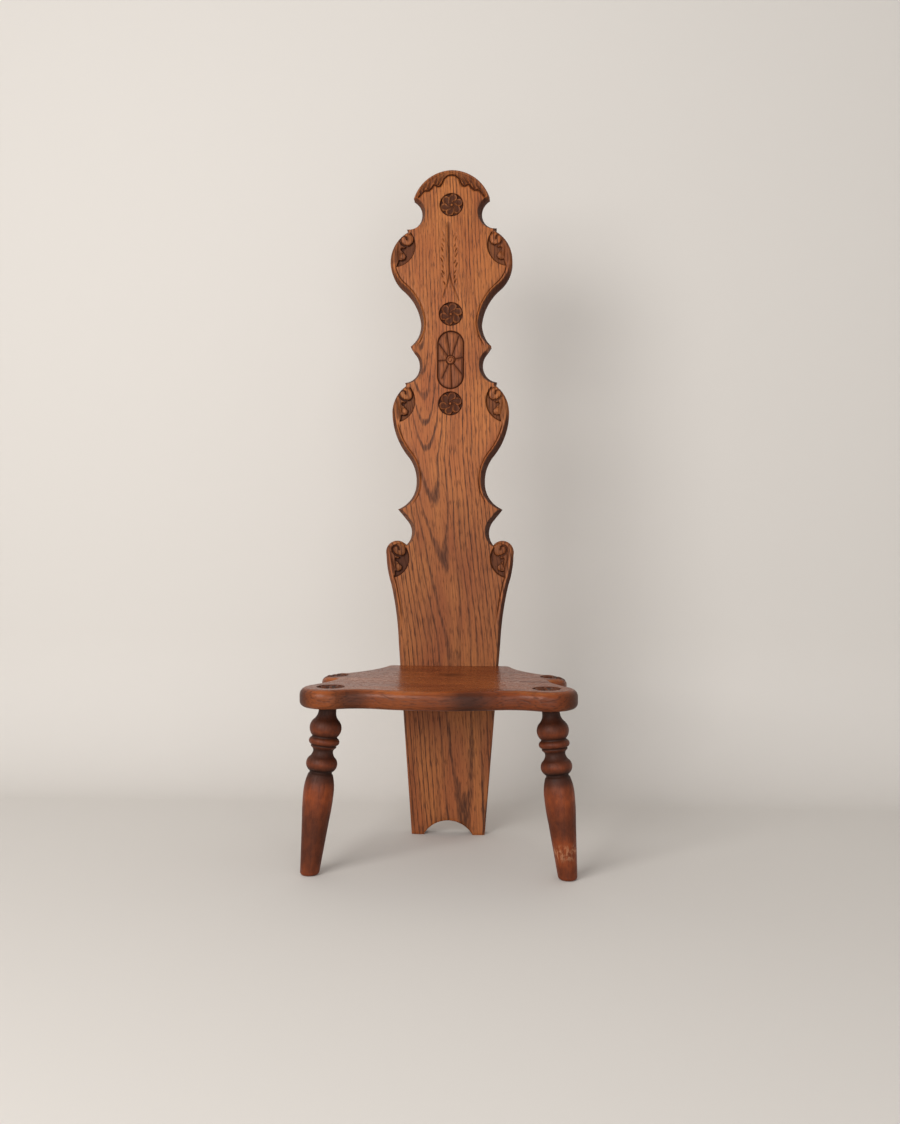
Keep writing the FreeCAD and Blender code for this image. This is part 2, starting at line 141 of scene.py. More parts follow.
def make_piece(name, corners, faces, grain, stain_and_shade, nodes):
    """A finished object from corners in mm, in place of the named CAD nodes."""
    mesh = bpy.data.meshes.new(name)
    mesh.from_pydata([tuple(c) for c in corners * MM], [], faces)
    for label, kind, values in (("grain", "FLOAT_VECTOR", grain * MM), ("stain_and_shade", "FLOAT", stain_and_shade)):
        attribute = mesh.attributes.new(label, kind, "POINT")
        key = "vector" if kind == "FLOAT_VECTOR" else "value"
        attribute.data.foreach_set(key, np.ascontiguousarray(values, np.float32).ravel())
    work = bmesh.new()
    work.from_mesh(mesh)
    loose = [v for v in work.verts if not v.link_faces]
    bmesh.ops.delete(work, geom=loose, context="VERTS")
    bmesh.ops.recalc_face_normals(work, faces=work.faces)
    open_edges = sum(1 for e in work.edges if len(e.link_faces) != 2)
    work.to_mesh(mesh)
    work.free()
    mesh.shade_smooth()
    mesh.set_sharp_from_angle(angle=SHARP_FROM)
    piece = bpy.data.objects.new(name, mesh)
    bpy.context.scene.collection.objects.link(piece)
    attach(piece, "root")
    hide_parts(*nodes)
    print(f"{name}: {len(mesh.vertices)} corners, {len(mesh.polygons)} faces, {open_edges} open edges")
    return piece


# %% [markdown]
# ## The back plank's outline
#
# Each row is a corner of the right-hand edge, from the crown down to the foot: distance from the
# middle, height along the board, radius and bend of the stretch below it. The last four values
# describe the bevel along the front edge: its width at the corner and half way along the stretch,
# and how many times deeper than wide it is at both. The hollows are cut back steeply through almost
# the whole thickness, and the tail only has a soft arris.

# %% Plank sizes
PLANK_THICK, PLANK_LEAN, PLANK_FOOT_BACK = 22.0, math.radians(5.0), 64.7
PLANK_EDGE = [
    (0.0, 1003.8, 64.0, 1, 1.6, 1.6, 1.0, 1.0),
    (58.5, 960.0, 25.0, -1, 2.0, 6.2, 2.0, 3.0),
    (69.2, 913.6, 0.0, 0, 3.8, 3.6, 2.6, 2.4),
    (67.2, 907.6, 55.0, 1, 2.6, 3.6, 2.0, 1.2),
    (74.1, 818.7, 82.0, -1, 5.6, 6.0, 2.2, 3.0),
    (46.8, 764.0, 61.5, -1, 6.0, 5.6, 3.0, 3.0),
    (61.5, 728.5, 0.0, 0, 2.0, 2.0, 2.0, 2.0),
    (56.0, 720.0, 28.0, -1, 2.4, 6.0, 2.0, 3.0),
    (70.0, 673.6, 0.0, 0, 3.8, 3.6, 2.6, 2.4),
    (68.2, 667.8, 52.0, 1, 2.6, 3.0, 2.0, 1.4),
    (88.5, 630.0, 106.0, 1, 3.8, 5.4, 1.2, 2.0),
    (64.0, 560.0, 60.0, -1, 5.8, 6.0, 2.6, 3.0),
    (52.0, 523.0, 46.0, -1, 6.0, 5.0, 3.0, 3.0),
    (78.5, 479.5, 0.0, 0, 2.4, 5.2, 2.4, 3.0),
    (66.0, 464.0, 29.0, -1, 5.0, 6.0, 3.0, 3.0),
    (65.5, 425.6, 17.0, 1, 2.6, 3.0, 2.0, 1.3),
    (95.4, 411.0, 150.0, 1, 3.8, 4.4, 1.5, 1.8),
    (88.0, 367.0, 480.0, -1, 4.6, 4.4, 1.8, 1.8),
    (75.8, 280.0, 0.0, 0, 3.8, 2.2, 1.8, 1.6),
    (53.4, 0.0, 0.0, 0, 1.6, 1.2, 1.2, 0.8),
    (36.0, 0.0, 42.0, -1, 1.2, 1.2, 0.8, 0.8),
    (0.0, 20.5, 0.0, 0, 1.2, 1.2, 0.8, 0.8),
]
EDGE_STEP = 1.0
right_edge, right_place = walk([row[:4] for row in PLANK_EDGE], EDGE_STEP)
plank_ring = np.concatenate([right_edge, (right_edge * (-1, 1))[-2:0:-1]])
ring_place = np.concatenate([right_place, right_place[-2:0:-1]])


def along_edge(place, at, middle):
    """A value that is given at each corner and half way along each stretch."""
    rows = np.array([(row[at], row[middle]) for row in PLANK_EDGE])
    i = np.clip(place.astype(int), 0, len(rows) - 2)
    f = place - i
    ends = rows[i, 0] * (1 - f) + rows[i + 1, 0] * f
    return ends + (rows[i, 1] - (rows[i, 0] + rows[i + 1, 0]) / 2) * 4 * f * (1 - f)


def outline_tree(points):
    """A search tree over the points of an outline."""
    tree = KDTree(len(points))
    for i, (x, y) in enumerate(points):
        tree.insert((x, y, 0), i)
    tree.balance()
    return tree


# A gouged line follows the edge below each leaf. Its spans say where on the list of corners it starts,
# is full, fades and ends.
LEAST_EDGE, GOUGE_GAP, GOUGE_DEEP = 2.5, 8.0, 1.5
GOUGE_SPANS = [(3.5, 3.75, 5.6, 5.95), (10.2, 10.4, 12.3, 12.8), (16.6, 16.9, 17.3, 17.9)]
bevel_wide = along_edge(ring_place, 4, 5)
bevel_deep = np.minimum(bevel_wide * along_edge(ring_place, 6, 7), PLANK_THICK - LEAST_EDGE)
gouge = np.zeros(len(ring_place))
for first, full, fade, last in GOUGE_SPANS:
    gouge = np.maximum(gouge, ramp(ring_place, first, full) * (1 - ramp(ring_place, fade, last)))
edge_tree = outline_tree(plank_ring)
print(len(plank_ring), "points round the plank")

# %% [markdown]
# ## The carving as a depth map
#
# Everything on this plank is cut below its flat face, so the carving is one number per point: how
# deep the wood has been cut there. Each ornament is a small function of the place on the board. That
# is like the carver's own order of work: set in the outline, sink the ground, then shape what stands.

# %% Rosettes and the long panel
ROSETTE_ROUND, ROSETTE_DEEP, BEAD_ROUND = 18.3, 3.6, 2.1
# A petal's middle line from its full end inwards: distance from the centre, and how far it has turned.
PETALS, PETAL_HALF, PETAL_TURN = 6, 5.6, 0.3
PETAL_LINE = [(11.7, 0.0), (8.5, 0.3), (5.0, 0.75), (1.5, 1.2)]


def rosette(x, y, whirl=1):
    """A sunk whirl of spooned petals round a bead. Whirl -1 turns the other way."""
    r = np.hypot(x, y)
    depth = np.full(x.shape, ROSETTE_DEEP)
    rim = np.zeros(x.shape)
    for turn in np.arange(PETALS) * 2 * math.pi / PETALS + PETAL_TURN:
        tail = [(reach * math.cos(turn + whirl * bend), reach * math.sin(turn + whirl * bend))
                for reach, bend in PETAL_LINE]
        gap, along = line_distance(x, y, tail)
        t = gap / (PETAL_HALF * (1 - along) ** 0.8 + 0.9)
        spoon = 0.5 + 1.5 * along + 1.5 * np.clip(1 - (t / 0.8) ** 2, 0, 1) * (1 - 0.5 * along)
        petal = spoon + (ROSETTE_DEEP - spoon) * ramp(t, 0.86, 1.04)
        rim = np.where(petal < depth, np.exp(-((t - 0.8) / 0.19) ** 2) * (1 - along), rim)
        depth = np.minimum(depth, petal)
    bead = np.sqrt(np.clip(1 - (r / BEAD_ROUND) ** 2, 0, 1))
    depth = np.where(r < BEAD_ROUND, 1.9 - 1.6 * bead, depth)
    # A dark ground, painted highlights on the petals' rims and on the bead, and a black line just inside the
    # edge that is a painted shadow.
    stain_and_shade = 0.92 + 0.08 * ramp(depth, 2.2, 3.2) - 0.62 * rim - 0.75 * bead
    stain_and_shade = np.maximum(stain_and_shade, np.exp(-((r - 17.0) / 1.1) ** 2))
    inside_round = ramp(ROSETTE_ROUND - r, -0.2, 0.9)
    return depth * inside_round, stain_and_shade * ramp(ROSETTE_ROUND - r, -0.6, 0.5)


PANEL_MIDDLE, PANEL_ROUND, PANEL_STRAIGHT, BOSS_ROUND = 707.0, 20.2, 24.6, 7.0
# Where the spokes end, from the panel's middle.
PANEL_SPOKES = [(-5.9, 43.0), (-17.6, 24.9), (12.4, 36.6), (19.8, 4.0), (-19.4, -1.5), (17.6, -22.0),
                (-12.8, -27.8), (2.2, -43.9)]


def long_panel(x, y):
    """An upright oval of petals, parted by gouged spokes, round a boss with a coil on it."""
    y = y - PANEL_MIDDLE
    rim = PANEL_ROUND - np.hypot(x, np.maximum(np.abs(y) - PANEL_STRAIGHT, 0))
    r = np.hypot(x, y)
    cut = np.full(x.shape, 9.0)
    for spoke in PANEL_SPOKES:
        cut = np.minimum(cut, line_distance(x, y, [(0, 0), spoke])[0])
    petal = 0.5 + 1.3 * np.exp(-np.minimum(cut, rim * 0.8) / 2.4)
    depth = np.maximum(petal, 2.6 * np.clip(1 - cut / 1.0, 0, 1))
    depth = np.maximum(depth, 2.7 * np.clip(1 - np.abs(rim - 0.9) / 1.5, 0, 1))
    coil = np.mod(np.arctan2(y, x) / (2 * np.pi) + r / 3.4, 1.0)
    groove = np.clip(1 - np.abs(coil - 0.5) / 0.22, 0, 1) * (r > 1.0)
    boss = 0.4 + 0.9 * (r / BOSS_ROUND) ** 2 + 1.1 * groove
    depth = np.where(r < BOSS_ROUND, boss, depth)
    depth = np.maximum(depth, 2.9 * np.clip(1 - np.abs(r - BOSS_ROUND) / 1.1, 0, 1))
    # Darker where cut deeper, and darker still near the rim, which is painted shade.
    stain_and_shade = 0.16 + 0.62 * np.clip(depth - 0.6, 0, 1.5) + 0.3 * np.exp(-rim / 4.0)
    return depth * ramp(rim, -0.7, 0.3), stain_and_shade * ramp(rim, -0.8, 0.4)


print(PETALS, "petals in a rosette,", len(PANEL_SPOKES), "spokes in the panel")


# %% [markdown]
# ### Scrolls, leaves and the crest
#
# Three pairs of scrolls end in a round eye with a leaf below it. The ground between scroll and face is
# sunk, a hooked groove curls round the eye, and gouged veins run down the leaf. The crest carries a
# hanging leaf border, cut round by a wavy line, and below it a ripple of nicks like an ear of wheat.

# %% Scrolls and leaves
# Border is the radius of the line that parts a scroll from the face, and slant leans its leaf. The lists
# that follow are measured from the eye.
SCROLLS = [
    {"eye": (67.9, 895.2), "start": (62.5, 906.5), "tip": (84.6, 851.7), "border": 33.5, "slant": 0.0},
    {"eye": (67.5, 655.2), "start": (61.5, 666.0), "tip": (77.1, 611.7), "border": 33.5, "slant": 0.17},
    {"eye": (75.6, 419.3), "start": (67.5, 424.5), "tip": (83.6, 376.3), "border": 29.5, "slant": 0.21},
]
LEAF_SIDE = [(14.2, -36.3), (13.0, -32.0), (8.0, -32.6), (3.4, -30.8), (1.9, -26.1), (5.7, -21.3),
             (8.5, -17.0), (3.4, -13.0), (0.6, -10.3), (-2.4, -9.5), (-5.6, -7.8), (-8.0, -4.9), (-9.3, -1.0),
             (-9.2, 2.6), (-7.6, 6.0), (-5.0, 8.8)]
HOOK = [(0.5, -10.4), (4.6, -9.9), (8.2, -7.4), (10.6, -3.2), (10.4, 1.2), (8.0, 4.5), (4.4, 5.5), (1.2, 3.4),
        (0.6, -0.4)]
LEAF_VEINS = [[(13.6, -4.0), (14.2, -16.0), (13.6, -28.0), (14.6, -37.0)],
              [(10.6, -18.0), (10.0, -24.0), (11.4, -31.0)]]
EYE_END, LOBE, PIT = (4.0, -2.4), (6.2, -26.4), (7.0, -15.8)
CURL_ROUND, BALL_ROUND, LOBE_ROUND, PIT_ROUND = 9.0, 3.2, 4.8, 2.9
GROUND_DEEP, HOOK_DEEP = 4.4, 4.2


def scroll(x, y, parts):
    """Depth and stain of one scroll with its leaf, on the right-hand side of the board, with painted shadow
    and highlights in the stain.
    """
    eye, slant = np.array(parts["eye"]), parts["slant"]
    border = [(*parts["start"], parts["border"], 1), (*parts["tip"], 0, 0)]
    face_line, _ = walk(border, EDGE_STEP, outward=-1)
    side = np.array([point for point in LEAF_SIDE if point[1] < parts["start"][1] - eye[1] - 1.5])
    side[:, 0] += slant * np.minimum(side[:, 1], 0)
    leaf_line = np.concatenate([face_line[-1:], side + eye, face_line[:1]])
    within = inside(x, y, np.concatenate([face_line, side + eye]))
    face_gap, leaf_gap = (line_distance(x, y, line)[0] for line in (face_line, leaf_line))
    depth = GROUND_DEEP * within * np.minimum(ramp(face_gap, -0.2, 2.2), ramp(leaf_gap, -0.2, 0.8))
    outer = np.array([parts["tip"], parts["start"]]) + (40.0, 0.0)
    leaf = inside(x, y, np.concatenate([face_line, outer])) & ~within
    # The ground is dark, and the darker lines at the foot of the leaf's edge and of the face's edge are
    # painted shadow.
    stain_and_shade = within * (0.72 + 0.28 * np.exp(-((leaf_gap - 0.7) / 1.1) ** 2)
                      + 0.2 * np.exp(-((face_gap - 0.8) / 1.0) ** 2))
    stain_and_shade = np.maximum(stain_and_shade, 0.62 * leaf * ramp(y - parts["tip"][1], 0, 9))
    y = y - eye[1]
    x = x - eye[0] - slant * np.minimum(y, 0)
    r = np.hypot(x, y)
    ball, lobe, pit = (np.hypot(x - at[0], y - at[1]) for at in (EYE_END, LOBE, PIT))
    depth = np.maximum(depth, np.where(r < CURL_ROUND, 0.2 + 1.3 * (r / CURL_ROUND) ** 4, 0))
    depth = np.maximum(depth, np.where(lobe < LOBE_ROUND, 0.3 + 1.1 * (lobe / LOBE_ROUND) ** 3, 0))
    # Painted highlights on the leaf's lobe and in a band round the curl.
    stain_and_shade = stain_and_shade - 0.5 * np.exp(-(lobe / 3.2) ** 2) * ~within
    stain_and_shade = stain_and_shade - 0.5 * np.exp(-((r - 6.0) / 2.6) ** 2) * (r < 9.5) * ~within
    for vein in LEAF_VEINS:
        gap, along = line_distance(x, y, vein)
        gouged = np.sin(np.pi * np.clip(along, 0.08, 0.92)) ** 0.5 * np.clip(1 - gap / 1.5, 0, 1) ** 0.8
        depth = np.maximum(depth, 1.6 * gouged)
        stain_and_shade = np.maximum(stain_and_shade, 0.8 * gouged)
    gap, along = line_distance(x, y, HOOK)
    groove = ramp(1.75 - 0.6 * along - gap, -0.4, 0.5)
    hollow = np.maximum((HOOK_DEEP - 1.5 * along) * groove, HOOK_DEEP * ramp(PIT_ROUND - pit, -0.4, 0.8))
    depth = np.maximum(depth, hollow)
    stain_and_shade = np.maximum(stain_and_shade, np.maximum(groove, ramp(PIT_ROUND - pit, -0.4, 0.6)))
    bead = np.clip(1 - (ball / BALL_ROUND) ** 2, 0, 1)
    depth = np.where(bead > 0, np.minimum(depth, 1.6 - 1.2 * np.sqrt(bead)), depth)
    return depth, np.where(bead > 0.1, np.minimum(stain_and_shade, 0.1), stain_and_shade)


print(len(SCROLLS), "pairs of scrolls")


# %% Crest and wheat ear
CREST_LINE = [(0, 996.2), (6, 995.2), (11.8, 990), (14.6, 983), (17.5, 978.8), (21, 978.2), (25.5, 980.8),
              (28, 979.8), (31, 975.2), (35, 971.8), (42, 971.4), (46, 967.5), (50.5, 962.0)]
CREST_VEINS = [[(20.5, 981.5), (16.5, 989), (10, 996), (4, 999)], [(25, 983.5), (21, 991), (16, 995.5)],
               [(36, 974.5), (32.5, 983), (26, 990)], [(43.5, 973.5), (39.5, 980.5), (34.5, 985.5)],
               [(47.5, 967.8), (46.5, 973), (43.5, 978.5)]]
CREST_FOOT, CREST_DEEP = 958.0, 3.4
EAR_STEM = [(-4.5, 920.0), (-3.6, 880.0), (-2.6, 842.0)]
EAR_FORKS = [[(-2.6, 842.0), (-4.4, 828.0), (-12.0, 804.0)], [(-2.6, 842.0), (1.6, 826.0), (12.8, 799.0)]]
EAR_ROWS, EAR_MIDDLE = np.arange(824.0, 905.0, 8.3), -3.0


def crest(x, y, edge_gap):
    """Leaf border under the arch: a wavy cut with gouged lobes above it."""
    x = np.abs(x)
    gap, _ = line_distance(x, y, CREST_LINE)
    line = np.array(CREST_LINE)
    above = y > np.interp(x, line[:, 0], line[:, 1])
    wall = np.where(above, 1.4, 3.0)
    depth = CREST_DEEP * np.clip(1 - gap / wall, 0, 1) ** 0.8
    band = above & (edge_gap > 0) & (y > CREST_FOOT)
    # A painted highlight runs along the band just above the wavy cut.
    stain_and_shade = np.where(band, 0.34 - 0.6 * np.exp(-((gap - 2.8) / 1.1) ** 2), 0)
    for vein in CREST_VEINS:
        cut, along = line_distance(x, y, vein)
        gouged = np.where(band, (1 - 0.6 * along) * ramp(2.5 - cut, 0, 1.9), 0)
        depth = np.maximum(depth, 2.6 * gouged)
        stain_and_shade = np.maximum(stain_and_shade, 0.95 * gouged)
    border = np.clip(1 - np.abs(edge_gap - 4.2) / 1.3, 0, 1) * band
    depth = np.maximum(depth, 1.4 * border)
    stain_and_shade = np.maximum(stain_and_shade, 0.6 * border)
    return depth, np.maximum(stain_and_shade, np.clip(1.3 - gap / 1.5, 0, 1))


def wheat_ear(x, y):
    """A stem that forks at its foot, with rows of slanting nicks on both sides."""
    cut, along = line_distance(x, y, EAR_STEM)
    depth = 1.7 * np.clip(1.1 - cut / (3.2 - 1.6 * along), 0, 1) * ramp(along, -0.2, 0.1)
    for fork in EAR_FORKS:
        cut, along = line_distance(x, y, fork)
        depth = np.maximum(depth, 1.9 * (1 - 0.6 * along) * np.clip(1.2 - cut / 1.5, 0, 1))
    for side in (-1, 1):
        for row, height in enumerate(EAR_ROWS):
            drift = math.sin(row * 2.4 + side)
            near = 5.5 + 3.2 * math.sin(math.pi * (height - 812) / 100) + 1.2 * drift
            far = near + 3.4 + 0.8 * math.sin(row * 4.1 + side)
            foot = height + 1.4 * drift
            nick = [(EAR_MIDDLE + side * near, foot), (EAR_MIDDLE + side * far, foot + 7.4 + drift)]
            cut, along = line_distance(x, y, nick)
            strength = (1.8 + 0.4 * math.sin(row * 3.3 - side)) * (1 - 0.5 * ramp(height, 865, 905))
            gouged = np.sin(np.pi * along) ** 0.5 * np.clip(1 - cut / 1.1, 0, 1)
            depth = np.maximum(depth, strength * gouged)
    return depth, np.clip(depth * 0.5, 0, 0.9)


print(2 * len(EAR_ROWS), "nicks in the ear of wheat")


# %% [markdown]
# ### Where the points go
#
# A flat board needs few points, but a groove a millimetre wide needs several across it. So points are
# laid in boxes of different fineness, and rows of points follow the edge to carry the bevel. Blender's
# own constrained Delaunay triangulation then joins them without crossing the outline.

# %% Lay points on the plank
# Boxes of fine points: from and to across, from and to up the board, spacing. Each is also mirrored.
FINE_BOXES = [(0, 19.5, 929, 968, 0.62), (0, 19.5, 758, 798, 0.62), (0, 19.5, 620, 660, 0.62),
              (0, 21.6, 660, 754, 0.7), (50, 93, 849, 915, 0.85), (50, 90, 608, 675, 0.85),
              (60, 95, 374, 432, 0.85), (0, 56, 960, 1003, 0.9), (0, 19.5, 797, 925, 0.95)]
COARSE, PLANK_BOX = 4.5, (-96, 96, 2, 1002)
# Rows of points along the edge: shares of the bevel's width, and distances across the gouged line.
BEVEL_ROWS = (0.12, 0.3, 0.5, 0.72, 0.92, 1.04)
GOUGE_ROWS, GOUGE_CLEAR = (7.0, 7.5, 8.0, 8.5, 9.0, 9.8), 10.5


def hexagons(low_x, high_x, low_y, high_y, step):
    """A honeycomb of points in a box, which gives even triangles."""
    rows = np.arange(low_y, high_y, step * math.sqrt(3) / 2)
    points = []
    for i, y in enumerate(rows):
        across = np.arange(low_x + step / 2 * (i % 2), high_x, step)
        points.append(np.column_stack([across, np.full(len(across), y)]))
    return np.concatenate(points)


def in_box(points, box):
    """True for the points in a box or in its mirror image."""
    x, y = np.abs(points[:, 0]), points[:, 1]
    return (x >= box[0]) & (x < box[1]) & (y >= box[2]) & (y < box[3])


def nearest(tree, points):
    """Distance to the nearest outline point, and its number."""
    found = [tree.find((x, y, 0)) for x, y in points]
    return np.array([f[2] for f in found]), np.array([f[1] for f in found])


def inward(ring):
    """Unit vectors that point into a ring, one for each of its points."""
    along = np.roll(ring, -1, axis=0) - np.roll(ring, 1, axis=0)
    normal = np.stack([along[:, 1], -along[:, 0]], 1)
    area = np.sum(ring[:, 0] * np.roll(ring[:, 1], -1) - np.roll(ring[:, 0], -1) * ring[:, 1])
    return normal / np.hypot(*normal.T)[:, None] * (-1 if area > 0 else 1)


seeds = []
for number, box in enumerate(FINE_BOXES):
    fine = hexagons(-box[1], box[1], box[2], box[3], box[4])
    keep = in_box(fine, box)
    for earlier in FINE_BOXES[:number]:
        keep &= ~in_box(fine, earlier)
    seeds.append(fine[keep])
coarse = hexagons(*PLANK_BOX, COARSE)
for box in FINE_BOXES:
    coarse = coarse[~in_box(coarse, box)]
seeds.append(coarse)
seeds = np.concatenate(seeds)
gap, near = nearest(edge_tree, seeds)
in_fine = np.any([in_box(seeds, box) for box in FINE_BOXES], axis=0)
clear = np.where(gouge[near] > 0, GOUGE_CLEAR, bevel_wide[near] * 1.4 + 1.0)
seeds = seeds[gap > np.where(in_fine, np.maximum(0.6, bevel_wide[near] * 1.1), clear)]
edge_in = inward(plank_ring)
gouged = np.nonzero(gouge > 0)[0]
rows = [plank_ring + edge_in * (bevel_wide * share)[:, None] for share in BEVEL_ROWS]
rows += [(plank_ring + edge_in * distance)[gouged] for distance in GOUGE_ROWS]
rows = np.concatenate(rows)
gap, _ = nearest(edge_tree, rows)
own = np.concatenate([np.arange(len(plank_ring))] * len(BEVEL_ROWS) + [gouged] * len(GOUGE_ROWS))
meant = np.hypot(*(rows - plank_ring[own]).T)
rows = rows[gap > meant - 0.15]
print(len(seeds), "points on the face,", len(rows), "points along the bevel")

# %% Carve the plank
ROSETTE_UP = (948.7, 777.9, 640.0)
# Only points near an ornament are worked on, so each has the limits that its cuts can reach.
CUT_CLEAR = 1.5
SCROLL_FROM, SCROLL_BELOW, SCROLL_ABOVE = 44.0, 8.0, 14.0
EAR_HALF, EAR_LOW, EAR_HIGH = 20.0, 798.0, 924.0
# The lowest pair of scrolls is dark all over. All three on the right are a little lighter, which is painted
# light.
DARK_SCROLLS_BELOW, DARK_SCROLL, RIGHT_SCROLL = 500.0, 0.6, 0.82


def carve_plank(x, y):
    """Depth and stain, with painted shade and highlights, at every point of the plank's front."""
    edge_gap, near = nearest(edge_tree, np.stack([x, y], 1))
    wide, deep = bevel_wide[near], bevel_deep[near]
    depth = np.zeros(x.shape)
    stain_and_shade = np.zeros(x.shape)

    def cut(new_depth, new_stain, where):
        """Keep the deeper cut and the darker stain at some of the points."""
        depth[where] = np.maximum(depth[where], new_depth)
        stain_and_shade[where] = np.maximum(stain_and_shade[where], new_stain)

    for height in ROSETTE_UP:
        where = np.hypot(x, y - height) < ROSETTE_ROUND + CUT_CLEAR
        cut(*rosette(x[where], y[where] - height), where)
    panel_high = PANEL_STRAIGHT + PANEL_ROUND + CUT_CLEAR
    where = (np.abs(x) < PANEL_ROUND + CUT_CLEAR) & (np.abs(y - PANEL_MIDDLE) < panel_high)
    cut(*long_panel(x[where], y[where]), where)
    for parts in SCROLLS:
        low, high = parts["tip"][1] - SCROLL_BELOW, parts["eye"][1] + SCROLL_ABOVE
        where = (np.abs(x) > SCROLL_FROM) & (y > low) & (y < high)
        deep_cut, dark = scroll(np.abs(x[where]), y[where], parts)
        if high < DARK_SCROLLS_BELOW:
            dark = np.where(deep_cut > 0.15, np.clip(1.3 * dark, DARK_SCROLL, 1), dark)
        cut(deep_cut, dark * np.where(x[where] < 0, 1.0, RIGHT_SCROLL), where)
    where = y > CREST_FOOT
    cut(*crest(x[where], y[where], edge_gap[where]), where)
    where = (np.abs(x) < EAR_HALF) & (y > EAR_LOW) & (y < EAR_HIGH)
    cut(*wheat_ear(x[where], y[where]), where)

    # Wax has gathered near the edge. Low on the board, up to about 600 mm, the wood is darkened as painted
    # shade. The ridge beside the gouged line and the rim of each bevel are rubbed pale and painted as a
    # highlight. The bevels are darkened partly by stain and partly as painted shade, which is heavier on the
    # bevels away from the lamp.
    line = gouge[near] * np.clip(1.3 - np.abs(edge_gap - GOUGE_GAP) / 0.95, 0, 1)
    ridge = gouge[near] * np.exp(-((edge_gap - 6.4) / 0.7) ** 2)
    depth = np.maximum(depth, GOUGE_DEEP * line)
    stain_and_shade = np.maximum(stain_and_shade, 0.16 * (1 - ramp(edge_gap, 3.0, 20.0)))
    stain_and_shade = np.maximum(stain_and_shade, 0.3 * (1 - ramp(y, 400, 610)) * ramp(y, 60, 300))
    arris_wear_and_highlight = np.exp(-((edge_gap - 1.25 * wide) / 0.8) ** 2) * ramp(deep, 2.0, 8.0)
    stain_and_shade = np.maximum(stain_and_shade, line) - 0.9 * ridge - 0.8 * arris_wear_and_highlight
    slope = np.clip(1.15 - edge_gap / wide, 0, 1)
    bevel_stain_and_shade = np.where(x < 0, 0.55 + 0.2 * ramp(y, 400, 500), 0.92)
    stain_and_shade = np.maximum(stain_and_shade, bevel_stain_and_shade * ramp(slope, 0.0, 0.3) * ramp(deep, 2.0, 8.0))
    return np.maximum(depth, deep * np.clip(1 - edge_gap / wide, 0, 1)), np.clip(stain_and_shade, -1, 1)


# %% Join the plank
BACK_ARRIS, BACK_STAIN, DEEP_STAIN = 0.4, 0.25, 0.9
SCREW_UP, SCREW_SPREAD = 233.4, 44.0
SCREW_BRIM, SCREW_FLOOR, SCREW_SEAT, SCREW_SIDES = 6.3, 5.85, 1.8, 28


def lean_back(board):
    """From the plank's own (across, up the board, into the board) to the chair's frame."""
    x, up, into = board.T
    up = np.maximum(up, into * math.tan(PLANK_LEAN))
    c, s = math.cos(PLANK_LEAN), math.sin(PLANK_LEAN)
    return np.stack([x, PLANK_FOOT_BACK + into * c + up * s, up * c - into * s], 1)


def triangulate(ring, points):
    """Join a ring and loose points into triangles that fill the ring. The ring's points stay first."""
    everything = [Vector(p) for p in np.concatenate([ring, points])]
    edges = [(i, (i + 1) % len(ring)) for i in range(len(ring))]
    places, _, faces, origins, _, _ = delaunay_2d_cdt(everything, edges, [], 1, 1e-5)
    assert all(i in origins[i] for i in range(len(ring))), "the outline crosses itself or meets a point"
    assert len(places) == len(everything), "points fall together"
    return np.array([tuple(p) for p in places]), [tuple(f) for f in faces]


def walls(count, upper, lower):
    """Faces between two rings of count corners, from the number of each ring's first corner."""
    after = [(i + 1) % count for i in range(count)]
    return [(upper + i, upper + j, lower + j, lower + i) for i, j in enumerate(after)]


def screw_seat(middle):
    """Points of one round recess behind: its brim, its floor and its middle."""
    turns = np.arange(SCREW_SIDES) * 2 * math.pi / SCREW_SIDES
    way = np.stack([np.cos(turns), np.sin(turns)], 1)
    return np.concatenate([middle + SCREW_BRIM * way, middle + SCREW_FLOOR * way, [middle]])


count = len(plank_ring)
flat, front_faces = triangulate(plank_ring, np.concatenate([rows, seeds]))
front_deep, front_stain_and_shade = carve_plank(flat[:, 0], flat[:, 1])
back_ring = plank_ring + edge_in * BACK_ARRIS
screw_places = [np.array((across, SCREW_UP)) for across in (-SCREW_SPREAD, 0.0, SCREW_SPREAD)]
back_flat, back_faces = triangulate(back_ring, np.concatenate([screw_seat(place) for place in screw_places]))
to_screw = np.min([np.hypot(*(back_flat - place).T) for place in screw_places], axis=0)
sunk = to_screw < (SCREW_BRIM + SCREW_FLOOR) / 2
board = np.concatenate([
    np.column_stack([flat, front_deep]),
    np.column_stack([plank_ring, np.full(count, PLANK_THICK - BACK_ARRIS)]),
    np.column_stack([back_flat, np.where(sunk, PLANK_THICK - SCREW_SEAT, PLANK_THICK)]),
])
second, third = len(flat), len(flat) + count
faces = front_faces + walls(count, 0, second) + walls(count, second, third)
faces += [tuple(third + i for i in f) for f in back_faces]
plank_stain_and_shade = np.concatenate([
    front_stain_and_shade, np.full(count, DEEP_STAIN), np.where(sunk, DEEP_STAIN, BACK_STAIN)])
plank = make_piece("carved_back_plank", lean_back(board), faces, board[:, [0, 2, 1]], plank_stain_and_shade,
                   ["back_plank"])

# %% [markdown]
# ## The seat board
#
# The seat is one board with a bowed front, round lobes over the legs and a round ear behind each of
# them. Its edge is rounded over above and below, so the height of a point follows from its distance
# to the outline. The notch at the back hugs the plank: it leans and narrows as the plank does.

# %% Seat sizes
SEAT_UNDER, SEAT_TOP, SEAT_FRONT = 220.0, 245.0, 174.1
SEAT_ROUND_TOP, SEAT_ROUND_UNDER = 9.5, 7.5
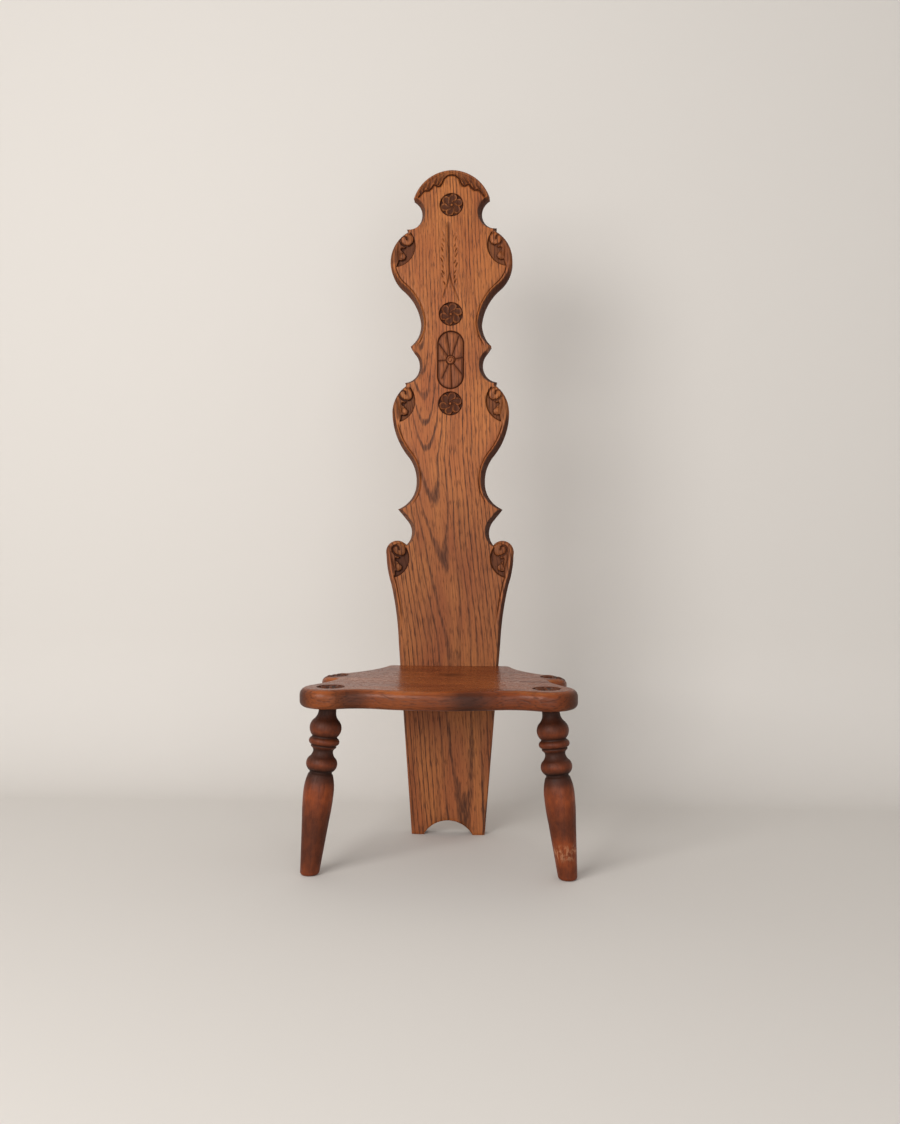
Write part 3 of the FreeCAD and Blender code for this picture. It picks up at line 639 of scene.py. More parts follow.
# From the middle of the front to the notch: across, back from the front, radius and bend of the stretch.
SEAT_EDGE = [
    (0.0, 0.0, 285.0, 1), (76.6, 10.5, 68.2, -1), (127.4, 6.6, 38.0, 1), (173.4, 64.4, 147.0, -1),
    (148.5, 120.1, 31.0, 1), (142.4, 180.6, 160.0, -1), (95.6, 259.9, 14.0, 1), (81.9, 271.0, 0.0, 0),
]
# The notch's half width and how far back it starts, at the seat's top and underside.
NOTCH_TOP, NOTCH_UNDER = (73.4, 260.2), (71.4, 258.0)
SEAT_ROSES = [(-141.0, 42.0), (141.0, 42.0), (-152.0, 153.0), (152.0, 153.0)]
SEAT_STEP, SEAT_COARSE, SEAT_FINE, SEAT_BOX = 1.5, 5.0, 0.65, (-178, 178, 3, 259)
SEAT_ROWS, SEAT_CLEAR = (0.25, 0.8, 1.6, 2.7, 4.0, 5.6, 7.4, 9.5), 10.5
free_edge, _ = walk(SEAT_EDGE, SEAT_STEP, outward=-1)
seat_rear = SEAT_EDGE[-1][1]
closing, _ = walk([SEAT_EDGE[-1], (0.0, seat_rear, 0.0, 0)], SEAT_STEP)
notch, _ = walk([(NOTCH_TOP[0], seat_rear, 0, 0), (*NOTCH_TOP, 0, 0), (0.0, NOTCH_TOP[1], 0, 0)], SEAT_STEP)
right_half = np.concatenate([free_edge, notch])
seat_ring = np.concatenate([right_half, (right_half * (-1, 1))[-2:0:-1]])
seat_tree_points = np.concatenate([free_edge, closing, free_edge * (-1, 1), closing * (-1, 1)])
seat_tree = outline_tree(seat_tree_points)
print(len(seat_ring), "points round the seat")


def eased(distance, radius):
    """How far a rounded edge falls below the flat, at a distance from the outline."""
    inset = np.clip(radius - distance, 0, radius)
    return radius - np.sqrt(radius ** 2 - inset ** 2)


def under_ring(ring):
    """The outline at the seat's underside, where the notch is a little smaller."""
    moved = ring.copy()
    in_notch = (np.abs(ring[:, 0]) <= NOTCH_TOP[0] + 1e-6) & (ring[:, 1] >= NOTCH_TOP[1] - 1e-6)
    moved[in_notch, 0] *= NOTCH_UNDER[0] / NOTCH_TOP[0]
    at_back = in_notch & (ring[:, 1] < NOTCH_TOP[1] + 1e-6)
    moved[at_back, 1] = NOTCH_UNDER[1]
    return moved


# %% Shape the seat
seat_in = inward(seat_ring)
on_free = nearest(seat_tree, seat_ring)[0] < 1e-3
seat_rows = []
for distance in SEAT_ROWS:
    row = (seat_ring + seat_in * distance)[on_free]
    seat_rows.append(row[nearest(seat_tree, row)[0] > distance - 0.12])
seat_rows = np.concatenate(seat_rows)
rose_half = ROSETTE_ROUND + 1.0
seat_boxes = [(x - rose_half, x + rose_half, y - rose_half, y + rose_half, SEAT_FINE)
              for x, y in SEAT_ROSES[1::2]]
fine = np.concatenate([hexagons(-box[1], box[1], *box[2:]) for box in seat_boxes])
fine = fine[np.any([in_box(fine, box) for box in seat_boxes], axis=0)]
plain = hexagons(*SEAT_BOX, SEAT_COARSE)
loose_top = np.concatenate([plain[~np.any([in_box(plain, box) for box in seat_boxes], axis=0)], fine])
loose_top = loose_top[nearest(seat_tree, loose_top)[0] > SEAT_CLEAR]
loose_under = plain[nearest(seat_tree, plain)[0] > SEAT_CLEAR]
count = len(seat_ring)
top_flat, top_faces = triangulate(seat_ring, np.concatenate([seat_rows, loose_top]))
low_ring = under_ring(seat_ring)
low_flat, low_faces = triangulate(low_ring, np.concatenate([seat_rows, loose_under]))

top_gap = nearest(seat_tree, top_flat)[0]
top_height = SEAT_TOP - eased(top_gap, SEAT_ROUND_TOP)
print(len(top_flat), "points above,", len(low_flat), "points below")

# %% Stain and join the seat
# Dark places on the front edge: how far across, half width, strength.
EDGE_MARKS = [(42, 38, 0.85), (-110, 30, 0.75), (-178, 18, 0.75), (178, 20, 0.75)]
# A soft dark patch in the middle: its place, half sizes and strength.
PATCH_AT, PATCH_HALF, PATCH_DARK = (9.0, 162.0), (17.0, 15.0), 0.6
RIM_STAIN, RIM_HIGHLIGHT, UNDER_STAIN = 0.3, 0.3, 0.45


def dark_patches(points, gap):
    """Dark patches: a soft one in the middle and four along the front edge."""
    x, y = points.T
    across, back = ((points - PATCH_AT) / PATCH_HALF).T
    patch = PATCH_DARK * np.exp(-across ** 2 - back ** 2)
    front = (1 - ramp(gap, 3.0, 9.0)) * (1 - ramp(y, 60, 90))
    marks = sum(dark * np.exp(-((x - at) / wide) ** 2) for at, wide, dark in EDGE_MARKS)
    return np.maximum(patch, front * marks)


top_stain_and_shade = np.maximum(RIM_STAIN * (1 - ramp(top_gap, 0.2, 2.2)), dark_patches(top_flat, top_gap))
# A painted highlight along the rounding of the top edge.
top_stain_and_shade -= RIM_HIGHLIGHT * np.exp(-((top_gap - 4.5) / 2.5) ** 2)
for x, y in SEAT_ROSES:
    where = np.hypot(top_flat[:, 0] - x, top_flat[:, 1] - y) < ROSETTE_ROUND + CUT_CLEAR
    deep, dark = rosette(top_flat[where, 0] - x, top_flat[where, 1] - y, whirl=-1)
    top_height[where] -= deep
    top_stain_and_shade[where] = np.maximum(top_stain_and_shade[where], dark)
low_gap = nearest(seat_tree, low_flat)[0]
low_height = SEAT_UNDER + eased(low_gap, SEAT_ROUND_UNDER)
start = len(top_flat)
seat_points = np.concatenate([
    np.column_stack([top_flat, top_height]), np.column_stack([low_flat, low_height])])
faces = top_faces + [tuple(start + i for i in f) for f in low_faces] + walls(count, 0, start)
low_stain = np.where(low_gap < 8.0, RIM_STAIN, UNDER_STAIN)
low_stain = np.maximum(low_stain, dark_patches(low_flat, low_gap) * (low_gap < 10))
seat_stain_and_shade = np.concatenate([top_stain_and_shade, low_stain])
seat = make_piece("lobed_seat_board", seat_points - (0, SEAT_FRONT, 0), faces, seat_points[:, [1, 2, 0]],
                  seat_stain_and_shade, ["seat_board"])

# %% [markdown]
# ## Turned front legs
#
# A turner shapes the legs on a lathe, so each is one profile spun round an axis: a long vase, two
# bulbs with a ring between them, and a plain neck. A Geometry Nodes tree does the same: it bends a
# grid round the axis and takes each row's radius and height from the profile's points.

# %% Node helper and the lathe tree


def add_node(tree, kind, links=(), **settings):
    """Add a node with its settings. Links are (input name or number, then a value, an output or a node)."""
    node = tree.nodes.new(kind)
    for key, value in settings.items():
        setattr(node, key, value)
    for name, source in links:
        socket = node.inputs[name]
        if isinstance(source, bpy.types.Node):
            source = next(output for output in source.outputs if output.enabled)
        if isinstance(source, bpy.types.NodeSocket):
            tree.links.new(source, socket)
        else:
            socket.default_value = source
    return node


def new_tree(name, inputs, output):
    """An empty Geometry Nodes tree with named inputs. Returns it with the sockets that give their values."""
    tree = bpy.data.node_groups.new(name, "GeometryNodeTree")
    for label, kind in inputs:
        tree.interface.new_socket(label, in_out="INPUT", socket_type="NodeSocket" + kind)
    tree.interface.new_socket(output, in_out="OUTPUT", socket_type="NodeSocketGeometry")
    return tree, add_node(tree, "NodeGroupInput").outputs


def lathe_tree():
    """Spin the points of the incoming mesh, read as (radius, 0, height), into a closed surface."""
    tree, given = new_tree("lathe", [("Profile", "Geometry"), ("Rows", "Int"), ("Segments", "Int"),
                                     ("Wood", "Material")], "Turned")
    around = add_node(tree, "ShaderNodeMath", [(0, given["Segments"]), (1, 1)], operation="ADD")
    grid = add_node(tree, "GeometryNodeMeshGrid", [
        ("Size X", 1), ("Size Y", 1), ("Vertices X", given["Rows"]), ("Vertices Y", around)])
    place = add_node(tree, "GeometryNodeInputPosition")
    spot = add_node(tree, "ShaderNodeSeparateXYZ", [(0, place)]).outputs
    last = add_node(tree, "ShaderNodeMath", [(0, given["Rows"]), (1, 1)], operation="SUBTRACT")
    share = add_node(tree, "ShaderNodeMath", [(0, spot["X"]), (1, 0.5)], operation="ADD")
    row = add_node(tree, "ShaderNodeMath", [(0, share), (1, last)], operation="MULTIPLY")
    whole = add_node(tree, "FunctionNodeFloatToInt", [(0, row)], rounding_mode="ROUND")
    sample = add_node(tree, "GeometryNodeSampleIndex", [
        ("Geometry", given["Profile"]), ("Value", place), ("Index", whole)],
        data_type="FLOAT_VECTOR", domain="POINT")
    part = add_node(tree, "ShaderNodeSeparateXYZ", [(0, sample)]).outputs
    turn = add_node(tree, "ShaderNodeMath", [(0, spot["Y"]), (1, 2 * math.pi)], operation="MULTIPLY")
    sides = []
    for operation in ("COSINE", "SINE"):
        angle = add_node(tree, "ShaderNodeMath", [(0, turn)], operation=operation)
        sides.append(add_node(tree, "ShaderNodeMath", [(0, angle), (1, part["X"])], operation="MULTIPLY"))
    spun = add_node(tree, "ShaderNodeCombineXYZ", [("X", sides[0]), ("Y", sides[1]), ("Z", part["Z"])])
    shaped = add_node(tree, "GeometryNodeSetPosition", [("Geometry", grid), ("Position", spun)])
    joined = add_node(tree, "GeometryNodeMergeByDistance", [("Geometry", shaped), ("Distance", 1e-6)])
    real = add_node(tree, "GeometryNodeRealizeInstances", [("Geometry", joined)])
    coated = add_node(tree, "GeometryNodeSetMaterial", [("Geometry", real), ("Material", given["Wood"])])
    add_node(tree, "NodeGroupOutput", [("Turned", coated)])
    return tree


def run_tree(name, line, tree, values):
    """Apply a tree to a profile of (radius, height) points. Returns the corners, in mm, and the faces."""
    source = bpy.data.meshes.new(name + "_profile")
    source.from_pydata([(r * MM, 0, h * MM) for r, h in line], [(i, i + 1) for i in range(len(line) - 1)], [])
    holder = bpy.data.objects.new(name + "_holder", source)
    bpy.context.scene.collection.objects.link(holder)
    modifier = holder.modifiers.new("tree", "NODES")
    modifier.node_group = tree
    for item in tree.interface.items_tree:
        if item.in_out == "INPUT" and item.name in values:
            modifier[item.identifier] = values[item.name]
    ready = holder.evaluated_get(bpy.context.evaluated_depsgraph_get())
    mesh = bpy.data.meshes.new_from_object(ready)
    bpy.data.objects.remove(holder)
    corners = np.empty(len(mesh.vertices) * 3, np.float32)
    mesh.vertices.foreach_get("co", corners)
    faces = [tuple(p.vertices) for p in mesh.polygons]
    bpy.data.meshes.remove(mesh)
    return corners.reshape(-1, 3) / MM, faces


lathe = lathe_tree()
print(len(lathe.nodes), "nodes in the lathe tree")

# %% Leg profile
# Radius and height of each corner, then the radius and bend of the stretch above it.
LEG_TURNING = [
    (11.9, -5.0, 0, 0), (17.8, 71.0, 325.0, 1), (20.0, 108.0, 68.5, 1), (16.2, 130.5, 0, 0),
    (14.6, 132.2, 0, 0), (14.8, 134.2, 11.7, 1), (18.0, 151.5, 13.0, -1), (13.1, 160.5, 6.0, -1),
    (16.0, 165.3, 2.0, 1), (16.2, 168.4, 0, 0), (17.0, 168.9, 5.0, 1), (17.0, 178.2, 0, 0),
    (16.3, 180.0, 14.9, 1), (17.2, 200.8, 16.0, -1), (11.6, 212.5, 0, 0), (11.5, 219.0, 0, 0),
    (11.0, 219.6, 0, 0), (11.0, 237.6, 0, 0),
]
LEG_FOOT, LEG_NECK, LEG_STEP = (168.3, -137.1, 0.0), (146.0, -121.7, 220.0), 0.7
leg_line, _ = walk(LEG_TURNING, LEG_STEP, outward=-1)
leg_line = np.concatenate([[(0.0, leg_line[0, 1])], leg_line, [(0.0, leg_line[-1, 1])]])
# Stain by height: dark in coves and above each swelling, rubbed bright below it, dull near the floor.
LEG_STAIN = [(-5, 0.0), (3, 0.25), (20, 0.55), (60, 0.62), (76, 0.52), (88, 0.25), (100, 0.0), (110, 0.05),
             (117, 0.3), (123, 0.7), (131, 0.92), (136, 1.0), (140, 0.6), (144, 0.32), (148, 0.55),
             (153, 0.8), (163, 0.92), (165.6, 0.55), (168.2, 1.0), (170, 0.55), (174, 0.36), (177, 0.6),
             (179.5, 1.0), (183, 0.65), (187, 0.36), (192, 0.55), (198, 0.78), (210, 0.88), (238, 0.9)]
LEG_SEGMENTS, FOOT_ROUND, KICKED_UP, KICKED_HALF = 72, 4.0, 36.0, 17.0
# The legs are cut from one trunk, this far to each side of a middle line.
LEG_FROM_MIDDLE = 40.0
print(len(leg_line), "points in the leg's profile")

# %% Spin the legs


def make_leg(name, node, side):
    """Spin a leg, splay it from foot to neck and round its foot. The right foot has pale knocks."""
    corners, faces = run_tree(name, leg_line, lathe, {"Rows": len(leg_line), "Segments": LEG_SEGMENTS})
    stain_and_shade = np.interp(corners[:, 2], *zip(*LEG_STAIN))
    if side > 0:
        in_front = ramp(-corners[:, 1], -4.0, 6.0)
        stain_and_shade = stain_and_shade - np.exp(-((corners[:, 2] - KICKED_UP) / KICKED_HALF) ** 2) * in_front
    foot, neck = (Vector((side * p[0], p[1], p[2])) for p in (LEG_FOOT, LEG_NECK))
    tilt = np.array(Vector((0, 0, 1)).rotation_difference(neck - foot).to_matrix())
    placed = corners @ tilt.T + np.array(foot)
    placed[:, 2] = np.maximum(placed[:, 2], 0)
    way = placed[:, :2] - np.array(foot)[:2]
    far = np.maximum(np.hypot(*way.T), 1e-6)
    placed[:, :2] -= way * (np.minimum(eased(placed[:, 2], FOOT_ROUND), far) / far)[:, None]
    grain = corners * (side, 1, 1) + (LEG_FROM_MIDDLE * side, 0, 0)
    return make_piece(name, placed, faces, grain, stain_and_shade, [node])


legs = [make_leg(f"turned_{side}_leg", f"{side}_front_leg", sign)
        for side, sign in (("left", -1), ("right", 1))]

# %% [markdown]
# ## Screws behind
#
# Three slotted wood screws go through the plank into the seat's rear edge. They repeat, so a second
# tree spins one screw with the lathe tree, saws its slot with a thin block and sets copies in a row.

# %% Screw tree
SCREW_LINE = [(0, 0), (5.6, 0), (2.7, 3.2), (2.7, 44.0), (0, 46.0)]
SLOT_WIDE, SLOT_DEEP, SAW_LONG, SCREW_SEGMENTS = 1.2, 1.3, 20, 32


def screw_row_tree():
    """Spin a screw, saw its slot and set copies in a row, each turned by chance as when driven."""
    tree, given = new_tree("screw_row", [
        ("Profile", "Geometry"), ("Rows", "Int"), ("Segments", "Int"), ("Count", "Int"), ("Spread", "Float"),
        ("Slot wide", "Float"), ("Slot deep", "Float"), ("Steel", "Material")], "Screws")
    spun = add_node(tree, "GeometryNodeGroup", node_tree=lathe)
    for name in ("Profile", "Rows", "Segments"):
        tree.links.new(given[name], spun.inputs[name])
    twice = add_node(tree, "ShaderNodeMath", [(0, given["Slot deep"]), (1, 2)], operation="MULTIPLY")
    saw_size = add_node(tree, "ShaderNodeCombineXYZ", [
        ("X", SAW_LONG * MM), ("Y", given["Slot wide"]), ("Z", twice)])
    saw = add_node(tree, "GeometryNodeMeshCube", [("Size", saw_size)])
    slotted = add_node(tree, "GeometryNodeMeshBoolean", [(0, spun), (1, saw)], operation="DIFFERENCE")
    side = add_node(tree, "ShaderNodeMath", [(0, given["Spread"]), (1, -1)], operation="MULTIPLY")
    first = add_node(tree, "ShaderNodeCombineXYZ", [("X", side)])
    step = add_node(tree, "ShaderNodeCombineXYZ", [("X", given["Spread"])])
    row = add_node(tree, "GeometryNodeMeshLine", [
        ("Count", given["Count"]), ("Start Location", first), ("Offset", step)])
    turn = add_node(tree, "FunctionNodeRandomValue", [
        (0, (0, 0, 0)), (1, (0, 0, math.pi)), ("Seed", 4)], data_type="FLOAT_VECTOR")
    copies = add_node(tree, "GeometryNodeInstanceOnPoints", [
        ("Points", row), ("Instance", slotted), ("Rotation", turn)])
    real = add_node(tree, "GeometryNodeRealizeInstances", [("Geometry", copies)])
    coated = add_node(tree, "GeometryNodeSetMaterial", [("Geometry", real), ("Material", given["Steel"])])
    add_node(tree, "NodeGroupOutput", [("Screws", coated)])
    return tree


screw_row = screw_row_tree()
print(len(screw_row.nodes), "nodes in the screw tree")

# %% Drive the screws
corners, faces = run_tree("screws", SCREW_LINE, screw_row, {
    "Rows": len(SCREW_LINE), "Segments": SCREW_SEGMENTS, "Count": len(screw_places),
    "Spread": SCREW_SPREAD * MM, "Slot wide": SLOT_WIDE * MM, "Slot deep": SLOT_DEEP * MM})
in_board = np.stack([corners[:, 0], SCREW_UP + corners[:, 1], PLANK_THICK - corners[:, 2]], 1)
screws = make_piece("back_wood_screws", lean_back(in_board), faces, in_board[:, [0, 2, 1]],
                    np.zeros(len(corners)), ["back_screws"])

# %% [markdown]
# ## Oak, cut and stained
#
# Oak is ring-porous: each year's ring starts with a row of large open pores that drink stain and look
# like dark lines, and ends in dense pale wood. A board is a slice through those rings, so the figure
# is simply the distance from the tree's heart, which runs almost along the board. Every oak here uses
# one builder with different sizes and colours. The value stored on the corners darkens the carving with
# stain and painted shade, and lightens ridges with wear and painted highlights.

# %% Figure of the oak


def heart_beside(tree, along, heart):
    """Where the tree's middle lies at each height, on straight lines between the points of heart."""
    heights = add_node(tree, "ShaderNodeCombineXYZ", [(0, along), (1, along), (2, along)])
    middle = add_node(tree, "ShaderNodeCombineXYZ", [(0, heart[0][1] * MM), (1, heart[0][2] * MM)])
    for (a, ax, ay), (b, bx, by) in zip(heart, heart[1:]):
        shift = add_node(tree, "ShaderNodeMapRange", [
            (6, heights), (7, (a * MM,) * 3), (8, (b * MM,) * 3), (9, (0, 0, 0)),
            (10, ((bx - ax) * MM, (by - ay) * MM, 0))], data_type="FLOAT_VECTOR")
        middle = add_node(tree, "ShaderNodeVectorMath", [(0, middle), (1, shift)], operation="ADD")
    return middle


def grain_noises(tree, grain, middle, sizes):
    """Noises stretched along the grain, from (name, width in mm, length in mm, detail)."""
    straight = add_node(tree, "ShaderNodeVectorMath", [(0, middle), (1, (-0.6, 0, 0)), (2, grain)],
                        operation="MULTIPLY_ADD")
    noises = {}
    for number, (label, wide, long, detail) in enumerate(sizes):
        scale = (1 / (wide * MM), 1 / (wide * MM), 1 / (long * MM))
        stretched = add_node(tree, "ShaderNodeVectorMath", [(0, straight), (1, scale)], operation="MULTIPLY")
        noises[label] = add_node(tree, "ShaderNodeTexNoise", [
            ("Vector", stretched), ("W", float(number)), ("Scale", 1.0), ("Detail", detail)],
            noise_dimensions="4D")
    return noises


FAINT_FROM, FAINT_ABOVE, FAINT = 620, 860, 0.82


def year_rings(tree, grain, along, middle, noises, ring_mm, wobble_mm):
    """The uneven distance from the heart as a wave, whose crests are the dark rows of pores."""
    beside = add_node(tree, "ShaderNodeVectorMath", [(0, grain), (1, middle)], operation="SUBTRACT")
    beside = add_node(tree, "ShaderNodeVectorMath", [(0, beside), (1, (1, 1, 0))], operation="MULTIPLY")
    radius = add_node(tree, "ShaderNodeVectorMath", [(0, beside)], operation="LENGTH").outputs["Value"]
    for label, reach in (("wobble", 2 * wobble_mm * MM), ("jitter", 0.45 * wobble_mm * MM)):
        radius = add_node(tree, "ShaderNodeMath", [(0, noises[label]), (1, reach), (2, radius)],
                          operation="MULTIPLY_ADD")
    turns = add_node(tree, "ShaderNodeMath", [(0, radius), (1, 2 * math.pi / (ring_mm * MM))],
                     operation="MULTIPLY")
    wave = add_node(tree, "ShaderNodeMath", [(0, turns)], operation="COSINE")
    rows = add_node(tree, "ShaderNodeMapRange", [(0, wave), (1, 0.5), (2, 0.95)])
    strength = add_node(tree, "ShaderNodeMapRange", [
        (0, noises["strength"]), (1, 0.36), (2, 0.6), (3, 0.4), (4, 1.0)])
    broken = add_node(tree, "ShaderNodeMapRange", [
        (0, noises["pores"]), (1, 0.38), (2, 0.58), (3, 0.65), (4, 1.0)])
    # High on the plank the rings are fainter. No other piece reaches that high.
    faint = add_node(tree, "ShaderNodeMapRange", [
        (0, along), (1, FAINT_FROM * MM), (2, FAINT_ABOVE * MM), (3, 1.0), (4, FAINT)])
    for part in (strength, broken, faint):
        rows = add_node(tree, "ShaderNodeMath", [(0, rows), (1, part)], operation="MULTIPLY")
    return rows


print("rings are fainter above", FAINT_FROM, "mm")

# %% Colours and the oak builder
WAX_SHINE = 0.2


def paint(code):
    """An sRGB hex colour as the linear colour that shaders take."""
    parts = [int(code[i:i + 2], 16) / 255 for i in (1, 3, 5)]
    return (*[c / 12.92 if c <= 0.04045 else ((c + 0.055) / 1.055) ** 2.4 for c in parts], 1.0)


def new_material(name):
    """A material with its node tree and its shader."""
    material = bpy.data.materials.new(name)
    material.use_nodes = True
    print("material", name)
    return material, material.node_tree, material.node_tree.nodes["Principled BSDF"]


def oak(name, pale, warm, dark, cavity, worn_and_highlight, heart, ring_mm=5.2, line=0.92, wobble_mm=4.0,
        pore_mm=(2.0, 16.0), pore=0.6, patch_mm=(42, 150), scuff_mm=(4, 8), even=0.5, rough=0.42,
        carved=True):
    """Stained oak. Heart lists where the tree's middle is: along the board, across it and into it, in mm.
    Real pores are 0.3 mm wide. They are drawn about 2 mm wide, or they would not show."""
    material, tree, shader = new_material(name)
    shader.inputs["Specular IOR Level"].default_value = WAX_SHINE
    if carved:
        grain = add_node(tree, "ShaderNodeAttribute", attribute_name="grain").outputs["Vector"]
    else:
        grain = add_node(tree, "ShaderNodeTexCoord").outputs["Object"]
    stain_and_shade = add_node(tree, "ShaderNodeAttribute", attribute_name="stain_and_shade").outputs["Fac"]
    along = add_node(tree, "ShaderNodeSeparateXYZ", [(0, grain)]).outputs["Z"]
    middle = heart_beside(tree, along, heart)
    noises = grain_noises(tree, grain, middle, [
        ("wobble", 60, 260, 2.0), ("jitter", 7, 45, 2.0), ("strength", 24, 170, 2.0),
        ("pores", *pore_mm, 2.0), ("fibres", 1.9, 70, 2.0), ("patches", *patch_mm, 3.0),
        ("scuffs", *scuff_mm, 3.0)])
    rows = year_rings(tree, grain, along, middle, noises, ring_mm, wobble_mm)
    crowded = add_node(tree, "ShaderNodeMath", [(0, rows), (1, 0.12), (2, noises["pores"])],
                       operation="MULTIPLY_ADD")
    pores = add_node(tree, "ShaderNodeMapRange", [(0, crowded), (1, 0.54), (2, 0.66)])

    # Colour from the ground up: patches, rings, fibres, pores, then stain and painted shade, and last wear
    # and painted highlights.
    patch = add_node(tree, "ShaderNodeMapRange", [(0, noises["patches"]), (1, 0.38), (2, 0.62)])
    ring_dark = add_node(tree, "ShaderNodeMath", [(0, rows), (1, line)], operation="MULTIPLY")
    fibre_dark = add_node(tree, "ShaderNodeMapRange", [
        (0, noises["fibres"]), (1, 0.45), (2, 0.7), (3, 0.0), (4, 0.8 * pore)])
    pore_dark = add_node(tree, "ShaderNodeMath", [(0, pores), (1, pore)], operation="MULTIPLY")
    scuffs = add_node(tree, "ShaderNodeMapRange", [
        (0, noises["scuffs"]), (1, 0.45), (2, 0.62), (3, -even), (4, -1.0)])
    wear_and_highlight = add_node(tree, "ShaderNodeMath", [(0, stain_and_shade), (1, scuffs)], operation="MULTIPLY")
    colour = paint(pale)
    for amount, over in ((patch, warm), (ring_dark, dark), (fibre_dark, dark), (pore_dark, dark),
                         (stain_and_shade, cavity), (wear_and_highlight, worn_and_highlight)):
        colour = add_node(tree, "ShaderNodeMix", [(0, amount), (6, colour), (7, paint(over))],
                          data_type="RGBA")
    tree.links.new(colour.outputs[2], shader.inputs["Base Color"])

    # Wax fills the hollows dull, and the pores stay open.
    dull = add_node(tree, "ShaderNodeMapRange", [
        (0, stain_and_shade), (1, 0.0), (2, 1.0), (3, rough), (4, rough + 0.25)])
    dull = add_node(tree, "ShaderNodeMath", [(0, pores), (1, 0.1), (2, dull)], operation="MULTIPLY_ADD")
    tree.links.new(dull.outputs[0], shader.inputs["Roughness"])
    height = add_node(tree, "ShaderNodeMath", [(0, pores), (1, -1.5), (2, noises["fibres"])],
                      operation="MULTIPLY_ADD")
    height = add_node(tree, "ShaderNodeMath", [(0, rows), (1, -0.5), (2, height)], operation="MULTIPLY_ADD")
    bump = add_node(tree, "ShaderNodeBump", [("Height", height), ("Strength", 0.35), ("Distance", 0.25 * MM)])
    tree.links.new(bump.outputs[0], shader.inputs["Normal"])
    return material


# %% Finish the pieces
# Waxed plank oak: mid brown with fine dark lines. The heart comes to the surface at the upper left, so
# arches hang there, and the lines run straight above and below.
PLANK_HEART = [(0, 30, 52), (280, 8, 46), (430, -14, 42), (560, -33, 33), (690, -44, 15), (780, -50, 1),
               (1000, -62, 1)]
plank_oak = oak("waxed_plank_oak", pale="#AE6936", warm="#99542B", dark="#41200F", cavity="#3A1808",
                worn_and_highlight="#C88A58", heart=PLANK_HEART)
# Seat oak: redder and glossier, because sitting has polished it.
seat_oak = oak("polished_seat_oak", pale="#965026", warm="#78391A", dark="#3A1A0B", cavity="#240F07",
               worn_and_highlight="#B8733C", heart=[(-180, 120, 165), (180, 100, 170)], line=0.2, wobble_mm=2.0,
               pore_mm=(1.8, 9.0), pore=0.45, rough=0.25)
# Leg oak: dark red-brown and even, nearly black in the coves, with pale knocks on the right foot.
leg_oak = oak("dark_turned_oak", pale="#803C1C", warm="#6A3017", dark="#2E140A", cavity="#221009",
              worn_and_highlight="#C89670", heart=[(0, 70, 10), (240, 74, 14)], line=0.08, pore_mm=(1.6, 4.0), pore=0.16,
              patch_mm=(7, 12), scuff_mm=(3.2, 5.0), even=0.0, rough=0.34)
# Bare wedge oak: never stained, because it is inside the joint.
wedge_oak = oak("bare_wedge_oak", pale="#C9A272", warm="#BE9464", dark="#A07848", cavity="#8A6238",
                worn_and_highlight="#D8B88C", heart=[(0, -30, 10), (300, -30, 10)], rough=0.6, carved=False)


RUST_MM = 2.5


def old_steel():
    """Steel wire turned into screws: dark, with a dull brown bloom of old rust."""
    material, tree, shader = new_material("darkened_screw_steel")
    shader.inputs["Metallic"].default_value = 1.0
    place = add_node(tree, "ShaderNodeTexCoord").outputs["Object"]
    bloom = add_node(tree, "ShaderNodeTexNoise", [
        ("Vector", place), ("Scale", 1 / (RUST_MM * MM)), ("Detail", 4.0)])
    colour = add_node(tree, "ShaderNodeValToRGB", [("Fac", bloom)])
    for element, code, position in zip(colour.color_ramp.elements, ("#55504A", "#4A3324"), (0.4, 0.7)):
        element.color = paint(code)
        element.position = position
    tree.links.new(colour.outputs[0], shader.inputs["Base Color"])
    rough = add_node(tree, "ShaderNodeMapRange", [("Value", bloom), ("To Min", 0.3), ("To Max", 0.75)])
    tree.links.new(rough.outputs[0], shader.inputs["Roughness"])
    return material


def coat(thing, material):
    """Give a piece one material all over."""
    thing.data.materials.clear()
    thing.data.materials.append(material)


coat(plank, plank_oak)
coat(seat, seat_oak)
for leg in legs:
    coat(leg, leg_oak)
coat(screws, old_steel())
for name in ("left_tenon_wedge", "right_tenon_wedge"):
    coat(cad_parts[name], wedge_oak)

# %% [markdown]
# ## Room, light and camera
#
# A pale sweep of paper runs from under the chair up behind it, so there is no horizon line. A large
# soft lamp stands to the front left, a weaker one low in front, and the world fills the rest. The
# camera stands level, a little right of the middle and turned towards it. Sizes here are in metres.

# %% Paper sweep
SWEEP_HALF, SWEEP_BACK, SWEEP_BEND, SWEEP_TOP = 2.4, 0.5, 0.25, 3.0


